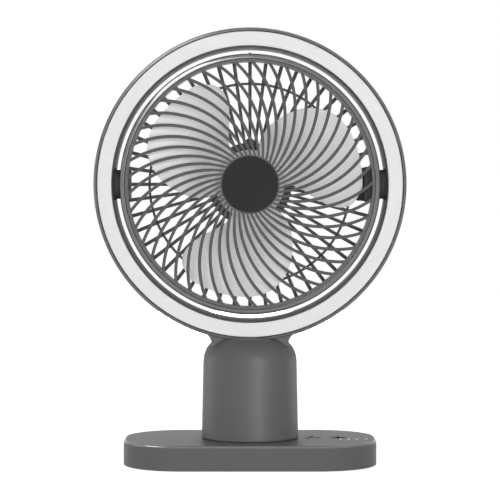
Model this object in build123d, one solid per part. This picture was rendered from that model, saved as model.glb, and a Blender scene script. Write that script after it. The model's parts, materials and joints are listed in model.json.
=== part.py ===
"""Desk fan with a lighting ring: base, turning column, ring on a neck, tilting fan head and its rotor.

The floor is z = 0, the column's axis is the Z axis, and the fan blows towards -Y.
Lengths are in millimetres.
"""

import math
import os

from build123d import *

# Clearances and cutting
overrun = 1.0            # how far a cutting tool runs past the face that it opens
fit_gap = 0.1            # between pieces that plug together and stay put
running_gap = 0.3        # between pieces that move past each other
shaft_gap = 0.05         # radial, between a shaft and the bore that it turns in
screw_gap = 0.05         # radial, between a screw and its hole

# Lighting ring
ring_radius = 105.0
ring_width = 12.8        # ring's outside to its bore
ring_depth = 32.0
ring_sink = 2.5          # ring's lowest point below the top of the column's dome
ring_outer_wall = 2.5
ring_inner_wall = 1.8
ring_rear_wall = 2.0
ring_edge_round = 2.2
ring_rear_round = 1.0
diffuser_thickness = 1.75
diffuser_recess = 0.4    # diffuser's face below the ring's lip
diffuser_skirt = 1.4     # wall of the rim that holds the diffuser off its board
lip_width = 0.6          # thin lip between the diffuser and the ring's bore
board_thickness = 1.2
board_ledge_width = 1.8
board_ledge_depth = 2.0
board_inset = 0.6        # lamp board's inner edge from the channel's inner wall
diffuser_standoff = 1.8  # lamp board's face to the back of the diffuser
led_count = 48
led_length = 3.5
led_width = 2.8
led_height = 0.8

# Neck of the ring
neck_width = 52.0
neck_depth = 27.0
neck_flare_radius = 8.0
neck_sink = 0.4          # flares' overlap into the ring
neck_edge_round = 3.0
neck_seat_depth = 7.9    # neck's shoulder below the top of the column's dome
tenon_width = 44.0
tenon_depth = 24.0
tenon_length = 13.2
neck_duct_width = 16.0
neck_duct_depth = 12.0

# Column
column_shoulder_radius = 31.7
column_flare = 1.0       # how much wider the foot is than the shoulder
column_side_height = 50.6
dome_radius = 18.2
column_wall = 2.2
clamp_thickness = 3.0
clamp_ledge_width = 2.6
clamp_ledge_depth = 2.2
clamp_duct_radius = 8.0
neck_screw_spacing = 28.0
neck_screw_depth = 12.0

# Base
base_length = 170.5
base_width = 98.0
base_corner_radius = 40.0
base_height = 17.8       # floor to the base's top
base_stand = 0.8         # floor to the casing's lower edge
base_wall = 2.2
base_top_round = 1.6
base_foot_round = 0.8
base_plate_thickness = 2.0
base_boss_radius = 3.5
base_screw_inset = 12.0  # screws in from the round of each corner
base_screw_angle = 70.0  # degrees from the long side's direction
foot_radius = 6.0
foot_thickness = 1.6
foot_inset = 11.0
foot_angle = 20.0

# Screws: shank radius, head radius, head height
small_screw = 1.2
small_head = 2.3
small_head_height = 1.3
large_screw = 1.5
large_head = 2.8
large_head_height = 1.5
base_screw_depth = 9.0
boss_wall = 1.6

# Turning foot of the column
swivel_gap = 0.5         # seam between the base and the column
swivel_ring_thickness = 0.45
swivel_ring_inset = 4.7  # in from the column's foot
swivel_ring_gap = 2.0    # outside the fixed post
swivel_plate_thickness = 3.0
spigot_lip = 5.0         # flange's reach over the turning plate
spigot_wall = 6.0
spigot_post_gap = 1.0    # flange to the motor's posts
spigot_flange_thickness = 2.5
spigot_hub_radius = 5.0
spigot_hub_height = 7.0
spigot_play = 0.15       # flange above the plate that it holds down
spigot_screw_depth = 4.0
spigot_screw_count = 3
lead_hole_radius = 1.6
lead_hole_circle = 7.0
lead_hole_turn = 60.0    # degrees
swivel_shaft_radius = 3.0
swivel_shaft_flat = 2.3  # axis to the flat of the shaft
swivel_motor_height = 18.0
swivel_motor_lift = 11.5  # plate to the motor's flange
motor_ear_gap = 3.1      # ears to the column's inside
motor_ear_reach = 3.0    # ears' middle outside the can
motor_ear_count = 3
motor_ear_turn = 30.0    # degrees
motor_ear_radius = 3.4
motor_ear_thickness = 1.6
motor_post_radius = 3.0
swivel_shaft_reach = 6.0  # shaft inside the motor
swivel_screw_depth = 7.0
plate_screw_inset = 4.3  # in from the column's shoulder
plate_screw_count = 3
plate_screw_turn = 90.0  # degrees
plate_boss_radius = 3.4
plate_boss_height = 13.0
plate_screw_depth = 8.0

# Battery, control board, keys, lights and charging socket
battery_length = 40.0
battery_side_gap = 23.0  # cell to the long side of the base
battery_end_gap = 29.0   # cell to the short end of the base
battery_height = 9.0
battery_round = 3.0
cradle_wall = 1.2
cradle_height = 3.0
control_side_gap = 29.0  # board to the long side of the base
control_key_margin = 4.3  # board's edge beyond the first key
control_light_margin = 1.4  # board's edge beyond the last light
control_tail_length = 15.0
control_tail_gap = 1.8   # board's tail to the casing's wall
control_thickness = 1.6
standoff_height = 3.4
standoff_radius = 2.0
standoff_inset_x = 4.0
standoff_inset_y = 3.0
key_radius = 5.0
key_pitch = 17.7
key_light_reach = 36.2   # first key to the power light
light_radius = 1.1
light_pitch = 5.5
light_count = 3
light_reach = 17.6       # first charge light to the power light
light_offset_y = -11.0
power_light_inset = 6.75  # in from the end of the base
power_light_y = -9.7
socket_width = 8.94
socket_height = 3.26
socket_depth = 7.3
socket_shell = 0.3
socket_tongue_width = 6.7
socket_tongue_height = 0.7
socket_mouth_gap = 0.3   # casing's cut-out round the socket
socket_recess = 0.6      # socket's face behind the casing's

# Fan head
head_gap = 4.8           # between the head and the ring's bore
band_wall = 3.4
band_depth = 36.0
band_outer_round = 2.6
band_inner_round = 0.6
band_land_depth = 6.0
rim_wall = 2.0           # rims of both grilles, with their fit in the band
grille_recess = 1.0      # grilles' rims below the band's edges
rim_round = 0.6
rib_count = 45
rib_width = 1.7
rib_depth = 2.6
rib_mid_turn = 22.6      # degrees gained from the hub to the middle radius
rib_full_turn = 41.2     # degrees gained from the hub to the rim
rib_root = 0.7           # ribs' overlap into the hub and rim
grille_rise = 6.0        # grille's hub in front of its rim
grille_hub_radius = 19.75
grille_hub_lip = 0.75
grille_hub_floor = 1.8
cap_thickness = 2.4
cap_crown = 0.5
cap_edge_round = 0.5
rear_rib_count = 48
rear_rib_root_width = 1.7
rear_rib_tip_width = 2.3
rear_rib_depth = 3.0
rear_ring_inset = 13.4   # in from the rim
rear_ring_width = 1.7
rear_disc_thickness = 2.5
rear_boss_count = 4
rear_boss_radius = 3.1
rear_boss_height = 6.0

# Side pivots
pivot_boss_radius = 9.8
pivot_boss_gap = 0.6     # end of the head's boss to the ring's flat pad
pivot_pad_radius = 10.6
pivot_pad_stand = 0.6    # pad in front of the ring's bore
pivot_pad_thickness = 3.6
pivot_radius = 5.5
pivot_bore_radius = 3.0
pivot_flange_radius = 8.4
pivot_flange_thickness = 1.6
pivot_inner_reach = 1.8  # pivot's inner end inside the band's bore
pivot_groove_depth = 0.7
clip_radius = 7.5
clip_thickness = 0.8
clip_inset = 0.6         # clip from the pivot's inner end
washer_radius = 9.4
washer_thickness = 0.5
pivot_relief_radius = 9.0
lead_box_height = 23.6
lead_box_tip_gap = 1.2   # box to the blades' tips
lead_box_front = 9.0
lead_box_rear = 13.6
lead_box_round = 2.0
lead_box_floor = 1.6
lead_radius = 1.1
lead_gap = 0.05

# Motor in the head
motor_base_radius = 24.0
motor_base_gap = 1.4       # base to the bosses round it
motor_base_thickness = 2.0
bearing_tube_radius = 6.9
bearing_tube_reach = 4.5   # front end of the tube, in front of the middle plane
bearing_radius = 4.0
bearing_width = 3.5
bearing_shoulder = 0.8
motor_screw_circle = 17.0
motor_screw_depth = 3.4
motor_screw_count = 3
motor_screw_turn = 30.0    # degrees
shaft_radius = 2.0
clip_outer_radius = 3.6
shaft_clip_thickness = 0.6
shaft_groove_depth = 0.5
shaft_tail = 1.2           # shaft behind its clip
shaft_well_radius = 4.6
motor_board_radius = 17.0
motor_board_thickness = 1.2
stator_front = 2.0
stator_height = 8.0
stator_radius = 17.3
stator_hub_wall = 2.8
tooth_count = 9
tooth_width = 3.0
shoe_thickness = 1.4
shoe_spread = 28.0         # degrees that one tooth's shoe covers
coil_width = 6.0
coil_overhang = 1.4
coil_end_gap = 0.3
magnet_wall = 2.0
magnet_gap = 0.7
magnet_length = 10.0
yoke_wall = 1.4
cover_depth = 3.6
cover_wall = 1.6
cover_round = 1.2

# Rotor
hub_wall = 1.7
hub_front = 10.0
hub_rear = -9.0
hub_edge_round = 2.5
hub_boss_radius = 5.0
hub_boss_gap = 0.5         # rotor's boss in front of the bearing tube
blade_count = 3
blade_tip_gap = 6.0
blade_thickness = 1.6
blade_lead_height = -6.8   # blade's height over the middle plane at its leading angle
blade_trail_height = 6.8
blade_camber = 1.6
blade_lead_angle = -15.0
blade_trail_angle = 76.0
blade_spill = 12.0         # degrees of sheet beyond each edge, trimmed off
blade_root_inset = 0.9     # blades' root inside the hub's surface
blade_sections = 9
# Angle in degrees and share of the way from root to tip: outwards, then from the tip back to the root
lead_edge_shares = ((-2.0, 0.135), (-8.5, 0.305), (-13.8, 0.504), (-15.0, 0.716), (-10.5, 0.90))
trail_edge_shares = ((38.0, 0.965), (54.0, 0.759), (67.0, 0.461), (75.0, 0.249))
tip_angles = (-1.0, 13.0, 27.0)
root_angles = (-0.5, 76.5)

# Worked-out heights
base_floor = base_stand + base_plate_thickness
base_ceiling = base_height - base_wall
control_bottom = base_floor + standoff_height
control_top = control_bottom + control_thickness
column_foot_height = base_height + swivel_gap
plate_top = column_foot_height + swivel_plate_thickness
column_shoulder_height = column_foot_height + column_side_height
dome_top_height = column_shoulder_height + dome_radius
neck_shoulder_height = dome_top_height - neck_seat_depth
tenon_foot_height = neck_shoulder_height - tenon_length
axis_height = dome_top_height - ring_sink + ring_radius

# Worked-out places in the base and the column
power_light_x = base_length / 2 - power_light_inset
light_first_x = power_light_x - light_reach
key_first_x = power_light_x - key_light_reach
control_left = key_first_x - key_radius - control_key_margin
control_right = power_light_x + light_radius + control_light_margin
control_length = control_right - control_left
control_offset_x = (control_left + control_right) / 2
control_width = base_width - 2 * control_side_gap
control_tail_offset_x = control_left + control_tail_length / 2
control_tail_width = (base_width - control_width) / 2 - base_wall - control_tail_gap
battery_width = base_width - 2 * battery_side_gap
battery_offset_x = battery_end_gap + (battery_length - base_length) / 2
column_foot_radius = column_shoulder_radius + column_flare
plate_screw_circle = column_shoulder_radius - plate_screw_inset
motor_ear_circle = column_shoulder_radius - column_wall - motor_ear_gap - motor_ear_radius
swivel_motor_radius = motor_ear_circle - motor_ear_reach
spigot_flange_radius = motor_ear_circle - motor_post_radius - spigot_post_gap
spigot_radius = spigot_flange_radius - spigot_lip
spigot_bore_radius = spigot_radius - spigot_wall
spigot_screw_circle = (spigot_radius + spigot_bore_radius) / 2
swivel_ring_inner = spigot_radius + swivel_ring_gap
swivel_ring_outer = column_foot_radius - swivel_ring_inset

# Worked-out places in the ring and the head
ring_front = ring_depth / 2
ring_bore_radius = ring_radius - ring_width
band_front = band_depth / 2
band_radius = ring_bore_radius - head_gap
band_bore_radius = band_radius - band_wall
duct_radius = band_bore_radius - rim_wall
blade_tip_radius = duct_radius - blade_tip_gap
rear_ring_radius = duct_radius - rear_ring_inset
rear_disc_radius = motor_base_radius + motor_base_gap + rear_boss_radius
magnet_radius = stator_radius + magnet_gap + magnet_wall
yoke_radius = magnet_radius + fit_gap + yoke_wall
hub_radius = yoke_radius + fit_gap + hub_wall
rim_front = band_front - grille_recess
land_front = band_land_depth / 2
rim_radius = band_bore_radius - fit_gap
pivot_pad_face = ring_bore_radius - pivot_pad_stand
pivot_pad_back = pivot_pad_face + pivot_pad_thickness
pivot_boss_end = pivot_pad_face - pivot_boss_gap
pivot_inner_end = band_bore_radius - pivot_inner_reach
disc_front = rear_disc_thickness - rim_front
motor_base_front = disc_front + motor_base_thickness
grille_hub_front = rim_front + grille_rise
cap_radius = grille_hub_radius - grille_hub_lip - fit_gap
cap_seat = grille_hub_front - cap_thickness + cap_crown
boss_circle = rear_disc_radius

BASE = (Align.CENTER, Align.CENTER, Align.MIN)
fan_frame = Plane(origin=(0, 0, axis_height), x_dir=(1, 0, 0), z_dir=(0, -1, 0)).location


def rod(radius, low, high):
    """Round bar about the Z axis between two heights."""
    return Pos(0, 0, low) * Cylinder(radius, high - low, align=BASE)


def tube(outer, inner, low, high):
    """Ring about the Z axis between two heights."""
    return rod(outer, low, high) - rod(inner, low, high)


def block(length, width, low, high):
    """Upright box about the Z axis between two heights."""
    return Pos(0, 0, low) * Box(length, width, high - low, align=BASE)


def rounded_block(length, width, radius, low, high):
    """Upright box with rounded corners in plan."""
    return Pos(0, 0, low) * extrude(RectangleRounded(length, width, radius), high - low)


def turned(points, rounds=()):
    """Solid of revolution about Z from (radius, height) points, with some corners rounded."""
    face = make_face(Polyline(*points, close=True)).face()
    for corner, radius in rounds:
        vertex = face.vertices().sort_by_distance(Vector(*corner))[0]
        face = face.fillet_2d(radius, [vertex])
    return revolve(Plane.XZ * face, Axis.Z)


def polar(radius, angle):
    """Point at a radius and an angle in degrees."""
    return (radius * math.cos(math.radians(angle)), radius * math.sin(math.radians(angle)))


def around(piece, radius, count, start=0.0):
    """Copies of a piece spaced evenly round the Z axis."""
    return [place * piece for place in PolarLocations(radius, count, start)]


def corners(span_x, span_y):
    """Four places at the corners of a rectangle about the Z axis."""
    return GridLocations(span_x, span_y, 2, 2)


def screw(shank, head, head_height, depth):
    """Pan-head screw whose head's bearing face is at zero, pointing up."""
    return rod(shank, 0, depth) + rod(head, -head_height, 0)


def on_sides(piece):
    """The same piece, made about Z, at the fan's two pivots: Z becomes the way out along X."""
    lift = Pos(0, 0, axis_height)
    return [lift * Rot(0, turn, 0) * piece for turn in (90, -90)]


def base_outline(inset):
    """Rounded rectangle of the base's plan, drawn in by an inset."""
    radius = base_corner_radius - inset
    return RectangleRounded(base_length - 2 * inset, base_width - 2 * inset, radius)


def base_places(inset, angle):
    """Four mirrored places on the rounds of the base's corners."""
    x, y = polar(base_corner_radius - inset, angle)
    straight_x = base_length - 2 * base_corner_radius
    straight_y = base_width - 2 * base_corner_radius
    return corners(straight_x + 2 * x, straight_y + 2 * y)


def screw_places():
    """Places of the screws in the base's floor."""
    return base_places(base_screw_inset, base_screw_angle)


def foot_places():
    """Places of the feet."""
    return base_places(foot_inset, foot_angle)


def socket_place():
    """Frame of the charging socket: its mouth faces the back of the base."""
    height = control_top + socket_height / 2
    mouth = base_width / 2 - socket_recess
    return Plane(origin=(control_tail_offset_x, mouth, height), x_dir=(-1, 0, 0), z_dir=(0, 1, 0)).location


def light_places():
    """The three charge lights, then the power light."""
    row = [(light_first_x + light_pitch * i, light_offset_y) for i in range(light_count)]
    return row + [(power_light_x, power_light_y)]


def key_places():
    """Middles of the two touch keys."""
    return [(key_first_x, 0), (key_first_x + key_pitch, 0)]


# Base


def base_shell():
    """Casing of the base: top and side wall in one moulding, open below."""
    body = Pos(0, 0, base_stand) * extrude(base_outline(0), base_height - base_stand)
    body = fillet(body.edges().group_by(Axis.Z)[-1], base_top_round)
    body = fillet(body.edges().group_by(Axis.Z)[0], base_foot_round)
    body -= extrude(base_outline(base_wall), base_ceiling)
    for place in screw_places():
        body += place * tube(base_boss_radius, large_screw + screw_gap, base_floor, base_ceiling)
    body -= rod(spigot_bore_radius, 0, base_height + overrun)
    hole = rod(small_screw + screw_gap, 0, base_height + overrun)
    body -= around(hole, spigot_screw_circle, spigot_screw_count)
    for x, y in light_places():
        body -= Pos(x, y) * rod(light_radius + fit_gap, 0, base_height + overrun)
    mouth = RectangleRounded(
        socket_width + 2 * socket_mouth_gap,
        socket_height + 2 * socket_mouth_gap,
        socket_height / 2,
    )
    body -= socket_place() * Pos(0, 0, -base_wall) * extrude(mouth, 2 * base_wall)
    return body


def base_plate():
    """Floor of the base, with posts for the board and a cradle for the battery."""
    plate = Pos(0, 0, base_stand) * extrude(base_outline(base_wall + fit_gap), base_plate_thickness)
    for place in screw_places():
        plate -= place * rod(large_screw + screw_gap, 0, base_floor)
        plate -= place * rod(large_head + fit_gap, 0, base_stand + large_head_height)
    for place in foot_places():
        plate -= place * rod(foot_radius + fit_gap, 0, foot_thickness)
    posts = corners(control_length - 2 * standoff_inset_x, control_width - 2 * standoff_inset_y)
    for place in Pos(control_offset_x) * posts:
        plate += place * rod(standoff_radius, base_floor, control_bottom)
    outer = 2 * (cradle_wall + fit_gap)
    cradle = rounded_block(
        battery_length + outer,
        battery_width + outer,
        battery_round + cradle_wall,
        base_floor,
        base_floor + cradle_height,
    )
    cradle -= rounded_block(
        battery_length + 2 * fit_gap,
        battery_width + 2 * fit_gap,
        battery_round,
        base_floor,
        base_floor + cradle_height,
    )
    return plate + Pos(battery_offset_x) * cradle


def base_feet():
    """Four rubber pads let into the floor of the base."""
    return [place * rod(foot_radius, 0, foot_thickness) for place in foot_places()]


def base_screws():
    """Four screws that hold the floor to the casing."""
    piece = Pos(0, 0, base_stand + large_head_height) * screw(
        large_screw, large_head, large_head_height, base_screw_depth
    )
    return [place * piece for place in screw_places()]


def battery_pack():
    """Flat lithium cell in the left half of the base."""
    cell = rounded_block(
        battery_length, battery_width, battery_round, base_floor, base_floor + battery_height
    )
    edges = cell.edges().group_by(Axis.Z)[-1]
    return Pos(battery_offset_x) * fillet(edges, battery_round / 2)


def control_board():
    """Circuit board under the keys, with a tail that carries the charging socket."""
    board = Pos(control_offset_x) * block(control_length, control_width, control_bottom, control_top)
    tail_y = (control_width + control_tail_width) / 2
    tail = block(control_tail_length, control_tail_width, control_bottom, control_top)
    return board + Pos(control_tail_offset_x, tail_y) * tail


def touch_pads():
    """Conducting foam posts that lead the two touch keys down to the board."""
    return [Pos(x, y) * rod(key_radius, control_top, base_ceiling) for x, y in key_places()]


def light_pipe(x, y):
    """Clear rod from the board to the base's top."""
    return Pos(x, y) * rod(light_radius, control_top, base_height)


def charge_lights():
    """Three clear rods that show the charge."""
    return [light_pipe(x, y) for x, y in light_places()[:-1]]


def power_light():
    """Clear rod that shows that the fan is on."""
    return light_pipe(*light_places()[-1])


def usb_socket():
    """Charging socket: a thin metal shell round a flat tongue."""
    outer = RectangleRounded(socket_width, socket_height, socket_height / 2 - socket_shell)
    inner = RectangleRounded(
        socket_width - 2 * socket_shell,
        socket_height - 2 * socket_shell,
        socket_height / 2 - 2 * socket_shell,
    )
    shell = extrude(outer, -socket_depth)
    shell -= extrude(inner, -(socket_depth - socket_shell))
    tongue = block(socket_tongue_width, socket_tongue_height, -socket_depth, -socket_recess)
    return socket_place() * (shell + tongue)


def swivel_ring():
    """Slippery washer that the column turns on."""
    return tube(swivel_ring_outer, swivel_ring_inner, base_height, base_height + swivel_ring_thickness)


def swivel_spigot():
    """Fixed post in the column's foot: it holds the column down and grips the swivel motor's shaft."""
    flange_low = plate_top + spigot_play
    flange_high = flange_low + spigot_flange_thickness
    hub_high = flange_high + spigot_hub_height
    post = rod(spigot_radius, base_height, flange_low)
    post += rod(spigot_flange_radius, flange_low, flange_high)
    post -= rod(spigot_bore_radius, base_height, flange_low)
    post += rod(spigot_hub_radius, flange_high, hub_high)
    post -= d_rod(swivel_shaft_radius + fit_gap, swivel_shaft_flat + fit_gap, flange_low, hub_high)
    lead_hole = rod(lead_hole_radius, flange_low, flange_high)
    post -= around(lead_hole, lead_hole_circle, spigot_screw_count, lead_hole_turn)
    pilot = rod(small_screw + screw_gap, base_height, base_height + spigot_screw_depth)
    post -= around(pilot, spigot_screw_circle, spigot_screw_count)
    return post


def d_rod(radius, flat, low, high):
    """Round bar with one flat."""
    cut = Pos(flat + radius) * block(2 * radius, 2 * radius, low, high)
    return rod(radius, low, high) - cut


def spigot_screws():
    """Three screws from inside the base into the fixed post."""
    depth = base_wall + spigot_screw_depth - fit_gap
    piece = Pos(0, 0, base_ceiling) * screw(small_screw, small_head, small_head_height, depth)
    return around(piece, spigot_screw_circle, spigot_screw_count)


def swivel_shaft():
    """Output shaft of the swivel motor: it stays with the base while the motor turns round it."""
    low = plate_top + spigot_play
    return d_rod(swivel_shaft_radius, swivel_shaft_flat, low, motor_seat() + swivel_shaft_reach)


def motor_seat():
    """Height of the swivel motor's flange."""
    return plate_top + swivel_motor_lift


# Column


def column_profile(inset):
    """Half outline of the column and its dome, drawn in by an inset."""
    foot = (column_foot_radius - inset, 0)
    shoulder = (column_shoulder_radius - inset, column_shoulder_height - column_foot_height)
    arc_radius = dome_radius - inset
    middle_x = column_shoulder_radius - dome_radius
    arc_mid = (
        middle_x + arc_radius * math.cos(math.pi / 4),
        shoulder[1] + arc_radius * math.sin(math.pi / 4),
    )
    top = (middle_x, shoulder[1] + arc_radius)
    lines = [
        Line((0, 0), foot),
        Line(foot, shoulder),
        ThreePointArc(shoulder, arc_mid, top),
        Line(top, (0, top[1])),
        Line((0, top[1]), (0, 0)),
    ]
    return make_face(lines)


def column_shell():
    """Tapered column with a domed top, slotted for the ring's neck and open below."""
    body = revolve(Plane.XZ * column_profile(0), Axis.Z)
    body -= revolve(Plane.XZ * column_profile(column_wall), Axis.Z)
    body = Pos(0, 0, column_foot_height) * body
    ledge_outer = column_shoulder_radius - column_wall / 2
    ledge_inner = column_shoulder_radius - column_wall - clamp_ledge_width
    body += tube(ledge_outer, ledge_inner, tenon_foot_height, tenon_foot_height + clamp_ledge_depth)
    boss = rod(plate_boss_radius, plate_top, plate_top + plate_boss_height)
    bosses = Part() + around(boss, plate_screw_circle, plate_screw_count, plate_screw_turn)
    core = rod(column_shoulder_radius - column_wall / 2, plate_top, plate_top + plate_boss_height)
    body += bosses & core
    pilot = rod(small_screw + screw_gap, plate_top, plate_top + plate_screw_depth)
    body -= around(pilot, plate_screw_circle, plate_screw_count, plate_screw_turn)
    slot = rounded_block(
        neck_width + 2 * fit_gap,
        neck_depth + 2 * fit_gap,
        neck_edge_round,
        neck_shoulder_height - fit_gap,
        dome_top_height + overrun,
    )
    body -= slot
    body -= fan_frame * rod(ring_radius + fit_gap, -ring_front - fit_gap, ring_front + fit_gap)
    return body


def swivel_plate():
    """Floor of the column, which turns round the fixed post and carries the swivel motor."""
    radius = column_foot_radius - column_wall - fit_gap
    taper = (column_foot_radius - column_shoulder_radius) / column_shoulder_height
    radius -= taper * swivel_plate_thickness
    plate = tube(radius, spigot_radius + shaft_gap, column_foot_height, plate_top)
    post = rod(motor_post_radius, plate_top, motor_seat())
    plate += around(post, motor_ear_circle, motor_ear_count, motor_ear_turn)
    pilot = rod(small_screw + screw_gap, motor_seat() - swivel_screw_depth, motor_seat())
    plate -= around(pilot, motor_ear_circle, motor_ear_count, motor_ear_turn)
    head = rod(small_head + fit_gap, column_foot_height, column_foot_height + small_head_height)
    hole = rod(small_screw + screw_gap, column_foot_height, plate_top)
    plate -= around(head, plate_screw_circle, plate_screw_count, plate_screw_turn)
    plate -= around(hole, plate_screw_circle, plate_screw_count, plate_screw_turn)
    return plate


def plate_screws():
    """Three screws that hold the column to its floor."""
    depth = swivel_plate_thickness - small_head_height + plate_screw_depth - fit_gap
    piece = screw(small_screw, small_head, small_head_height, depth)
    piece = Pos(0, 0, column_foot_height + small_head_height) * piece
    return around(piece, plate_screw_circle, plate_screw_count, plate_screw_turn)


def swivel_motor():
    """Geared motor that swings the column: a can with three fixing ears and a well for its shaft."""
    seat = motor_seat()
    can = rod(swivel_motor_radius, seat, seat + swivel_motor_height)
    ear = rod(motor_ear_radius, seat, seat + motor_ear_thickness)
    can += around(ear, motor_ear_circle, motor_ear_count, motor_ear_turn)
    hole = rod(small_screw + screw_gap, seat, seat + motor_ear_thickness)
    can -= around(hole, motor_ear_circle, motor_ear_count, motor_ear_turn)
    return can - rod(swivel_shaft_radius + shaft_gap, seat, seat + swivel_shaft_reach + fit_gap)


def swivel_motor_screws():
    """Three screws through the motor's ears."""
    depth = motor_ear_thickness + swivel_screw_depth - fit_gap
    piece = Rot(180, 0, 0) * screw(small_screw, small_head, small_head_height, depth)
    piece = Pos(0, 0, motor_seat() + motor_ear_thickness) * piece
    return around(piece, motor_ear_circle, motor_ear_count, motor_ear_turn)


def neck_clamp():
    """Plate under the dome that draws the ring's neck down into the column."""
    radius = column_shoulder_radius - column_wall - running_gap
    plate = tube(radius, clamp_duct_radius, tenon_foot_height - clamp_thickness, tenon_foot_height)
    hole = rod(large_screw + screw_gap, tenon_foot_height - clamp_thickness, tenon_foot_height)
    return plate - around(hole, neck_screw_spacing / 2, 2)


def neck_screws():
    """Two screws through the clamp into the neck."""
    piece = screw(large_screw, large_head, large_head_height, clamp_thickness + neck_screw_depth - fit_gap)
    return around(Pos(0, 0, tenon_foot_height - clamp_thickness) * piece, neck_screw_spacing / 2, 2)


# Lighting ring


def neck():
    """Neck below the ring, flared into it, with a tenon that goes down into the column."""
    half = neck_width / 2
    reach = ring_radius + neck_flare_radius - neck_sink
    middle = Vector(half + neck_flare_radius, -math.sqrt(reach**2 - (half + neck_flare_radius) ** 2))
    touch = middle * ((ring_radius - neck_sink) / reach)
    inner = middle * ((ring_radius - ring_outer_wall) / reach)
    start = Vector(half, middle.Y)
    swing = (start - middle).normalized() + (touch - middle).normalized()
    bend = middle + swing.normalized() * neck_flare_radius
    low = neck_shoulder_height - axis_height
    side = [
        Line((0, low), (half, low)),
        Line((half, low), start),
        ThreePointArc(start, bend, touch),
        Line(touch, inner),
        Line(inner, (0, inner.Y)),
    ]
    face = make_face(side + [Line((0, inner.Y), (0, low))])
    half_body = extrude(face, neck_depth / 2, both=True)
    flanks = half_body.faces().filter_by(lambda f: abs(f.normal_at().X) > abs(f.normal_at().Y))
    flanks = flanks.filter_by(lambda f: f.center().X >= half - fit_gap)
    rim = [edge for face in flanks for edge in face.edges() if abs(edge.center().Z) > neck_edge_round]
    rim = [edge for edge in rim if edge.center().Y < touch.Y]
    half_body = fillet(rim, neck_edge_round)
    tenon = Pos(0, (low + tenon_foot_height - axis_height) / 2) * Box(
        tenon_width, neck_shoulder_height - tenon_foot_height, tenon_depth
    )
    return half_body + mirror(half_body, about=Plane.YZ) + tenon


def ring_housing():
    """Ring and neck in one moulding: a channel open to the front, with flat pads for the pivots."""
    front_corner = (ring_radius, ring_front)
    rear_corner = (ring_radius, -ring_front)
    bore_corner = (ring_bore_radius, -ring_front)
    body = turned(
        (bore_corner, rear_corner, front_corner, (ring_bore_radius, ring_front)),
        ((front_corner, ring_edge_round), (rear_corner, ring_edge_round), (bore_corner, ring_rear_round)),
    )
    body += neck()
    body -= rod(ring_bore_radius, -ring_front, ring_front)
    body -= ring_channel()
    duct_low = tenon_foot_height - axis_height
    duct_high = ring_outer_wall + overrun - ring_radius
    duct = Box(neck_duct_width, duct_high - duct_low, neck_duct_depth)
    body -= Pos(0, (duct_low + duct_high) / 2) * duct
    pilot = Rot(-90, 0, 0) * rod(large_screw + screw_gap, 0, neck_screw_depth)
    for x in (-neck_screw_spacing / 2, neck_screw_spacing / 2):
        body -= Pos(x, duct_low) * pilot
    body = fan_frame * body
    for pad in on_sides(rod(pivot_pad_radius, pivot_pad_face, pivot_pad_back)):
        body += pad
    for hole in on_sides(rod(pivot_radius + shaft_gap, pivot_pad_face - overrun, pivot_pad_back + overrun)):
        body -= hole
    return body


def ring_channel():
    """Space inside the ring: room for the lamp board on its ledge and a rebate for the diffuser."""
    outer = ring_radius - ring_outer_wall
    inner = ring_bore_radius + ring_inner_wall
    floor = ring_rear_wall - ring_front
    ledge_high = board_seat()
    ledge_low = ledge_high - board_ledge_depth
    rebate = diffuser_back() - fit_gap
    mouth = ring_front + overrun
    return turned(
        (
            (inner, floor),
            (outer, floor),
            (outer, ledge_low),
            (outer - board_ledge_width, ledge_low),
            (outer - board_ledge_width, ledge_high),
            (outer, ledge_high),
            (outer, mouth),
            (ring_bore_radius + lip_width, mouth),
            (ring_bore_radius + lip_width, rebate),
            (inner, rebate),
        )
    )


def diffuser_back():
    """Height of the diffuser's back face in front of the ring's middle plane."""
    return ring_front - diffuser_recess - diffuser_thickness


def board_seat():
    """Height of the ledge that the lamp board lies on."""
    return diffuser_back() - diffuser_standoff - board_thickness


def light_diffuser():
    """White light ring: a flat face with a rim that stands on the lamp board."""
    outer = ring_radius - ring_outer_wall - fit_gap
    inner = ring_bore_radius + lip_width + fit_gap
    face = diffuser_back() + diffuser_thickness
    skirt_foot = board_seat() + board_thickness
    return fan_frame * turned(
        (
            (inner, face),
            (outer, face),
            (outer, skirt_foot),
            (outer - diffuser_skirt, skirt_foot),
            (outer - diffuser_skirt, diffuser_back()),
            (inner, diffuser_back()),
        )
    )


def led_board():
    """Ring-shaped lamp board on its ledge."""
    outer = ring_radius - ring_outer_wall - fit_gap
    inner = ring_bore_radius + ring_inner_wall + board_inset
    return fan_frame * tube(outer, inner, board_seat(), board_seat() + board_thickness)


def ring_leds():
    """Lamps round the board."""
    low = board_seat() + board_thickness
    middle = (ring_radius - ring_outer_wall + ring_bore_radius + ring_inner_wall) / 2
    lamp = block(led_width, led_length, low, low + led_height)
    return [fan_frame * piece for piece in around(lamp, middle, led_count)]


# Fan head


def head_band():
    """Outer band of the fan head, with a land between the grilles and a boss for each pivot."""
    edges = ((band_radius, band_front), (band_radius, -band_front))
    lips = ((band_bore_radius, band_front), (band_bore_radius, -band_front))
    rounds = [(corner, band_outer_round) for corner in edges]
    rounds += [(corner, band_inner_round) for corner in lips]
    body = turned(
        (
            lips[1],
            edges[1],
            edges[0],
            lips[0],
            (band_bore_radius, land_front),
            (duct_radius, land_front),
            (duct_radius, -land_front),
            (band_bore_radius, -land_front),
        ),
        rounds,
    )
    body = fan_frame * body
    root = (band_bore_radius + band_radius) / 2
    for boss in on_sides(rod(pivot_boss_radius, root, pivot_boss_end)):
        body += boss
    for hole in on_sides(rod(pivot_radius + fit_gap, duct_radius - overrun, pivot_boss_end)):
        body -= hole
    for relief in on_sides(pivot_relief()):
        body -= relief
    return body


def pivot_relief():
    """Round room for the pivot's clip inside the band's bore."""
    return rod(pivot_relief_radius, duct_radius - overrun, band_bore_radius)


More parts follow.
